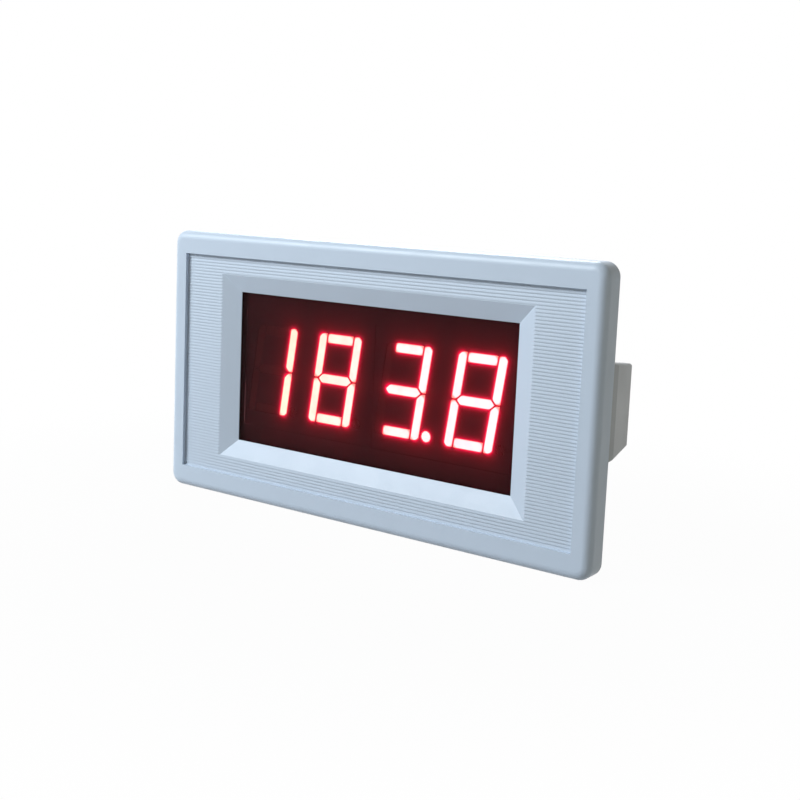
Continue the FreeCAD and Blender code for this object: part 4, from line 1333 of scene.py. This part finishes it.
@dataclass
class Tracks(Extra):
    """Copper tracks under the lacquer of the board's back, each a flat strip with bends."""

    width: float = 0.5
    thickness: float = 0.05
    easing: float = 0.015
    layer: float = 0.004
    finish: Moulded = Moulded("lacquered_copper", (0.05, 0.29, 0.12), 0.26, grain_depth=0.001)
    inner_lead: float = 3.81
    elbow: float = 0.9

    OTHERS = (
        ((25.1, -6.4), (27.7, -3.8), (27.7, 11.78), (24.58, 14.9)),
        ((25.1, -9.7), (27.4, -9.7), (29.3, -7.8), (29.3, 8.0)),
        ((25.1, -13.0), (27.9, -13.0), (30.9, -10.0), (30.9, 8.0)),
        ((-29.65, -7.2), (-29.65, -3.3), (-27.9, -1.55), (-27.9, 11.58), (-24.58, 14.9)),
        ((-27.15, -7.2), (-27.15, -9.27), (-21.71, -14.71)),
        ((-19.17, -14.71), (-19.17, -15.7), (-18.37, -16.5), (-9.5, -16.5)),
        ((-16.63, -14.71), (-15.83, -15.6), (-9.5, -15.6)),
        ((-14.09, -14.71), (-9.5, -14.71)),
    )

    def bent(self, start: Flat, end: Flat) -> Tuple[Flat, ...]:
        """A track straight down from its start, then slanting over just above its end."""
        bend = end[1] + self.elbow
        return start, (start[0], bend + abs(start[0] - end[0])), (end[0], bend), end

    def runs(self) -> List[Tuple[Flat, ...]]:
        """Every track as X and Z places in millimetres."""
        found = []
        inner_pin = MODULE_ACROSS - 4 * LEAD_PITCH
        for column in range(9):
            for side in (-1, 1):
                found.append(self.bent(
                    (side * (self.inner_lead + column * LEAD_PITCH), CHIP_UP - PIN_ROW),
                    (side * (inner_pin + column * LEAD_PITCH), -PIN_ROW)))
        for across in RESISTOR_LEADS:
            lead = (math.floor(across / LEAD_PITCH) + 0.5) * LEAD_PITCH
            found.append(self.bent((across, RESISTOR_UP), (lead, CHIP_UP + PIN_ROW)))
        return found + list(self.OTHERS)

    def strip(self, start: Flat, end: Flat, turn: int) -> Object:
        """One straight strip with its ends carried on by half its width.

        Args:
            start: Where it starts, as X and Z in millimetres.
            end: Where it ends.
            turn: Its number in the track. Each one is a hair thicker, so that no two share a face.

        Returns:
            The strip.
        """
        run = Vector((end[0] - start[0], 0, end[1] - start[1]))
        half, rise = self.width / 2, turn * self.layer
        reach = run.length / 2 + half
        piece = block((-reach, -self.thickness / 4 - rise, -half),
                      (reach, self.thickness + rise, half), self.easing, 1)
        piece.rotation_euler = (0, -math.atan2(run.z, run.x), 0)
        piece.location = Vector((start[0] + end[0], 2 * BOARD_BACK, start[1] + end[1])) / 2 * MM
        return piece

    def build(self) -> None:
        """Lay all the tracks and join them."""
        strips = [self.strip(start, end, turn) for run in self.runs()
                  for turn, (start, end) in enumerate(zip(run, run[1:]))]
        fix(join_up(strips, "board_tracks"), "board_laminate", self.finish.build())


@dataclass(frozen=True)
class Camera:
    """The photograph's view: angles in degrees, lengths in millimetres."""

    azimuth: float = 35.09
    elevation: float = 7.56
    roll: float = 2.42
    aside: float = 6.2
    above: float = 5.973
    away: float = 180.24
    pixels: float = 1204.4
    picture: float = 800.0
    middle: float = 348.2
    front: float = -3.8
    sensor: float = 36.0

    def build(self) -> None:
        """Place the camera that the scene renders with."""
        turn, lift, tilt = map(math.radians, (self.azimuth, self.elevation, self.roll))
        back = Vector((math.sin(turn) * math.cos(lift), -math.cos(turn) * math.cos(lift),
                       math.sin(lift)))
        level = Vector((math.cos(turn), math.sin(turn), 0))
        upright = back.cross(level)
        right = level * math.cos(tilt) + upright * math.sin(tilt)
        up = upright * math.cos(tilt) - level * math.sin(tilt)
        place = right * self.aside + up * self.above + back * self.away
        place.y += self.front
        lens = bpy.data.cameras.new("camera")
        lens.sensor_width = self.sensor
        lens.lens = self.pixels / self.picture * lens.sensor_width
        lens.shift_y = (self.middle - self.picture / 2) / self.picture
        lens.clip_start = 0.01
        camera = bpy.data.objects.new("camera", lens)
        axes = Matrix((right, up, back)).transposed().to_4x4()
        camera.matrix_world = Matrix.Translation(place * MM) @ axes
        bpy.context.scene.collection.objects.link(camera)
        bpy.context.scene.camera = camera


@dataclass(frozen=True)
class Lamp:
    """A round soft lamp that faces the meter, its place and size in metres, its power in watts."""

    name: str
    place: Point
    power: float
    colour: Colour
    size: float = 0.28

    def hang(self) -> None:
        """Put the lamp into the scene."""
        light = bpy.data.lights.new(self.name, "AREA")
        light.shape = "DISK"
        light.size = self.size
        light.energy = self.power
        light.color = self.colour
        holder = bpy.data.objects.new(self.name, light)
        holder.location = self.place
        holder.rotation_euler = (-Vector(self.place)).to_track_quat("-Z", "Y").to_euler()
        bpy.context.scene.collection.objects.link(holder)


DAYLIGHT = (0.875, 0.95, 1.0)
WARM_LIGHT = (1.0, 0.95, 0.66)
WHITE = (1.0, 1.0, 1.0)


@dataclass(frozen=True)
class Studio:
    """Soft daylight from the upper left, a dim surround, a pale floor and a white background."""

    lamps: Tuple[Lamp, ...] = (
        Lamp("key", (-0.28, -0.34, 0.31), 2.85, DAYLIGHT),
        Lamp("fill", (0.0, -0.50, 0.0), 0.1, WARM_LIGHT),
        Lamp("rear", (-0.30, 0.38, 0.36), 2.0, DAYLIGHT),
        Lamp("side", (0.45, 0.02, 0.05), 0.2, WARM_LIGHT),
    )
    surround: Colour = (0.05, 0.05, 0.048)
    floor_size: float = 3.0
    floor_gap: float = 0.00002
    floor_colour: Colour = (0.4, 0.4, 0.4)
    shadow_from: float = 0.045
    shadow_to: float = 0.11
    shadow_glow: float = 0.975

    def seen(self, graph: Graph) -> Socket:
        """Whether a ray shows the surface itself: straight, mirrored or through glass."""
        rays = graph.add("ShaderNodeLightPath").outputs
        mirrored = graph.math("MAXIMUM", rays["Is Glossy Ray"], rays["Is Transmission Ray"])
        return graph.math("MAXIMUM", rays["Is Camera Ray"], mirrored)

    def world(self) -> None:
        """Light from all round, with white behind."""
        world = bpy.data.worlds.new("surround")
        world.use_nodes = True
        bpy.context.scene.world = world
        graph = Graph(world.node_tree)
        shade = world.node_tree.nodes["Background"]
        graph.feed(shade.inputs["Color"], graph.blend(self.seen(graph), self.surround, WHITE))

    def floor(self) -> None:
        """A pale floor under the bezel's lower edge that fades into the background."""
        leave()
        level = CAD_BOX[0][2] - self.floor_gap
        bpy.ops.mesh.primitive_plane_add(size=self.floor_size, location=(0, 0, level))
        plane = bpy.context.view_layer.objects.active
        plane.name = "floor"
        material, graph, shader = new_paint("floor_paint")
        tone = graph.effect(TONE_DRIFT, Colour=self.floor_colour, Size=0.3, Amount=0.02)
        graph.feed_all(shader.inputs, {"Base_Color": tone["Colour"], "Roughness": 0.9})
        away = graph.vector("LENGTH", graph.place())
        share = graph.span(away, self.shadow_from, self.shadow_to, self.shadow_glow, 1.0,
                           smooth=True)
        glow = graph.add("ShaderNodeEmission")
        graph.feed(glow.inputs["Color"], WHITE)
        join = graph.add("ShaderNodeMixShader")
        output = graph.tree.nodes["Material Output"]
        shown = graph.math("MULTIPLY", self.seen(graph), share)
        graph.feed_all(join.inputs, {0: shown, 1: shader.outputs[0], 2: glow.outputs[0]})
        graph.feed(output.inputs["Surface"], join.outputs[0])
        plane.data.materials.append(material)

    def build(self) -> None:
        """Set up the light, the surround and the floor."""
        for lamp in self.lamps:
            lamp.hang()
        self.world()
        self.floor()
        bpy.context.scene.view_settings.view_transform = "Standard"


def main() -> None:
    """Dress the frame, add the worked-up pieces and set up the picture."""
    logging.basicConfig(level=logging.INFO, format="%(name)s: %(message)s")
    Camera().build()
    finishes = Finishes()
    CadDress(finishes).dress()
    SegmentWindows(finishes).build_all()
    MaskCard(finishes).build()
    BoardScrews(finishes).build()
    Resistors(finishes).build()
    capacitors = Capacitors(finishes)
    capacitors.build_film()
    capacitors.build_can()
    Solder(finishes).build()
    Tracks(finishes).build()
    Studio().build()
    leave()
    LOG.info("sizes written")


if __name__ == "__main__":
    main()
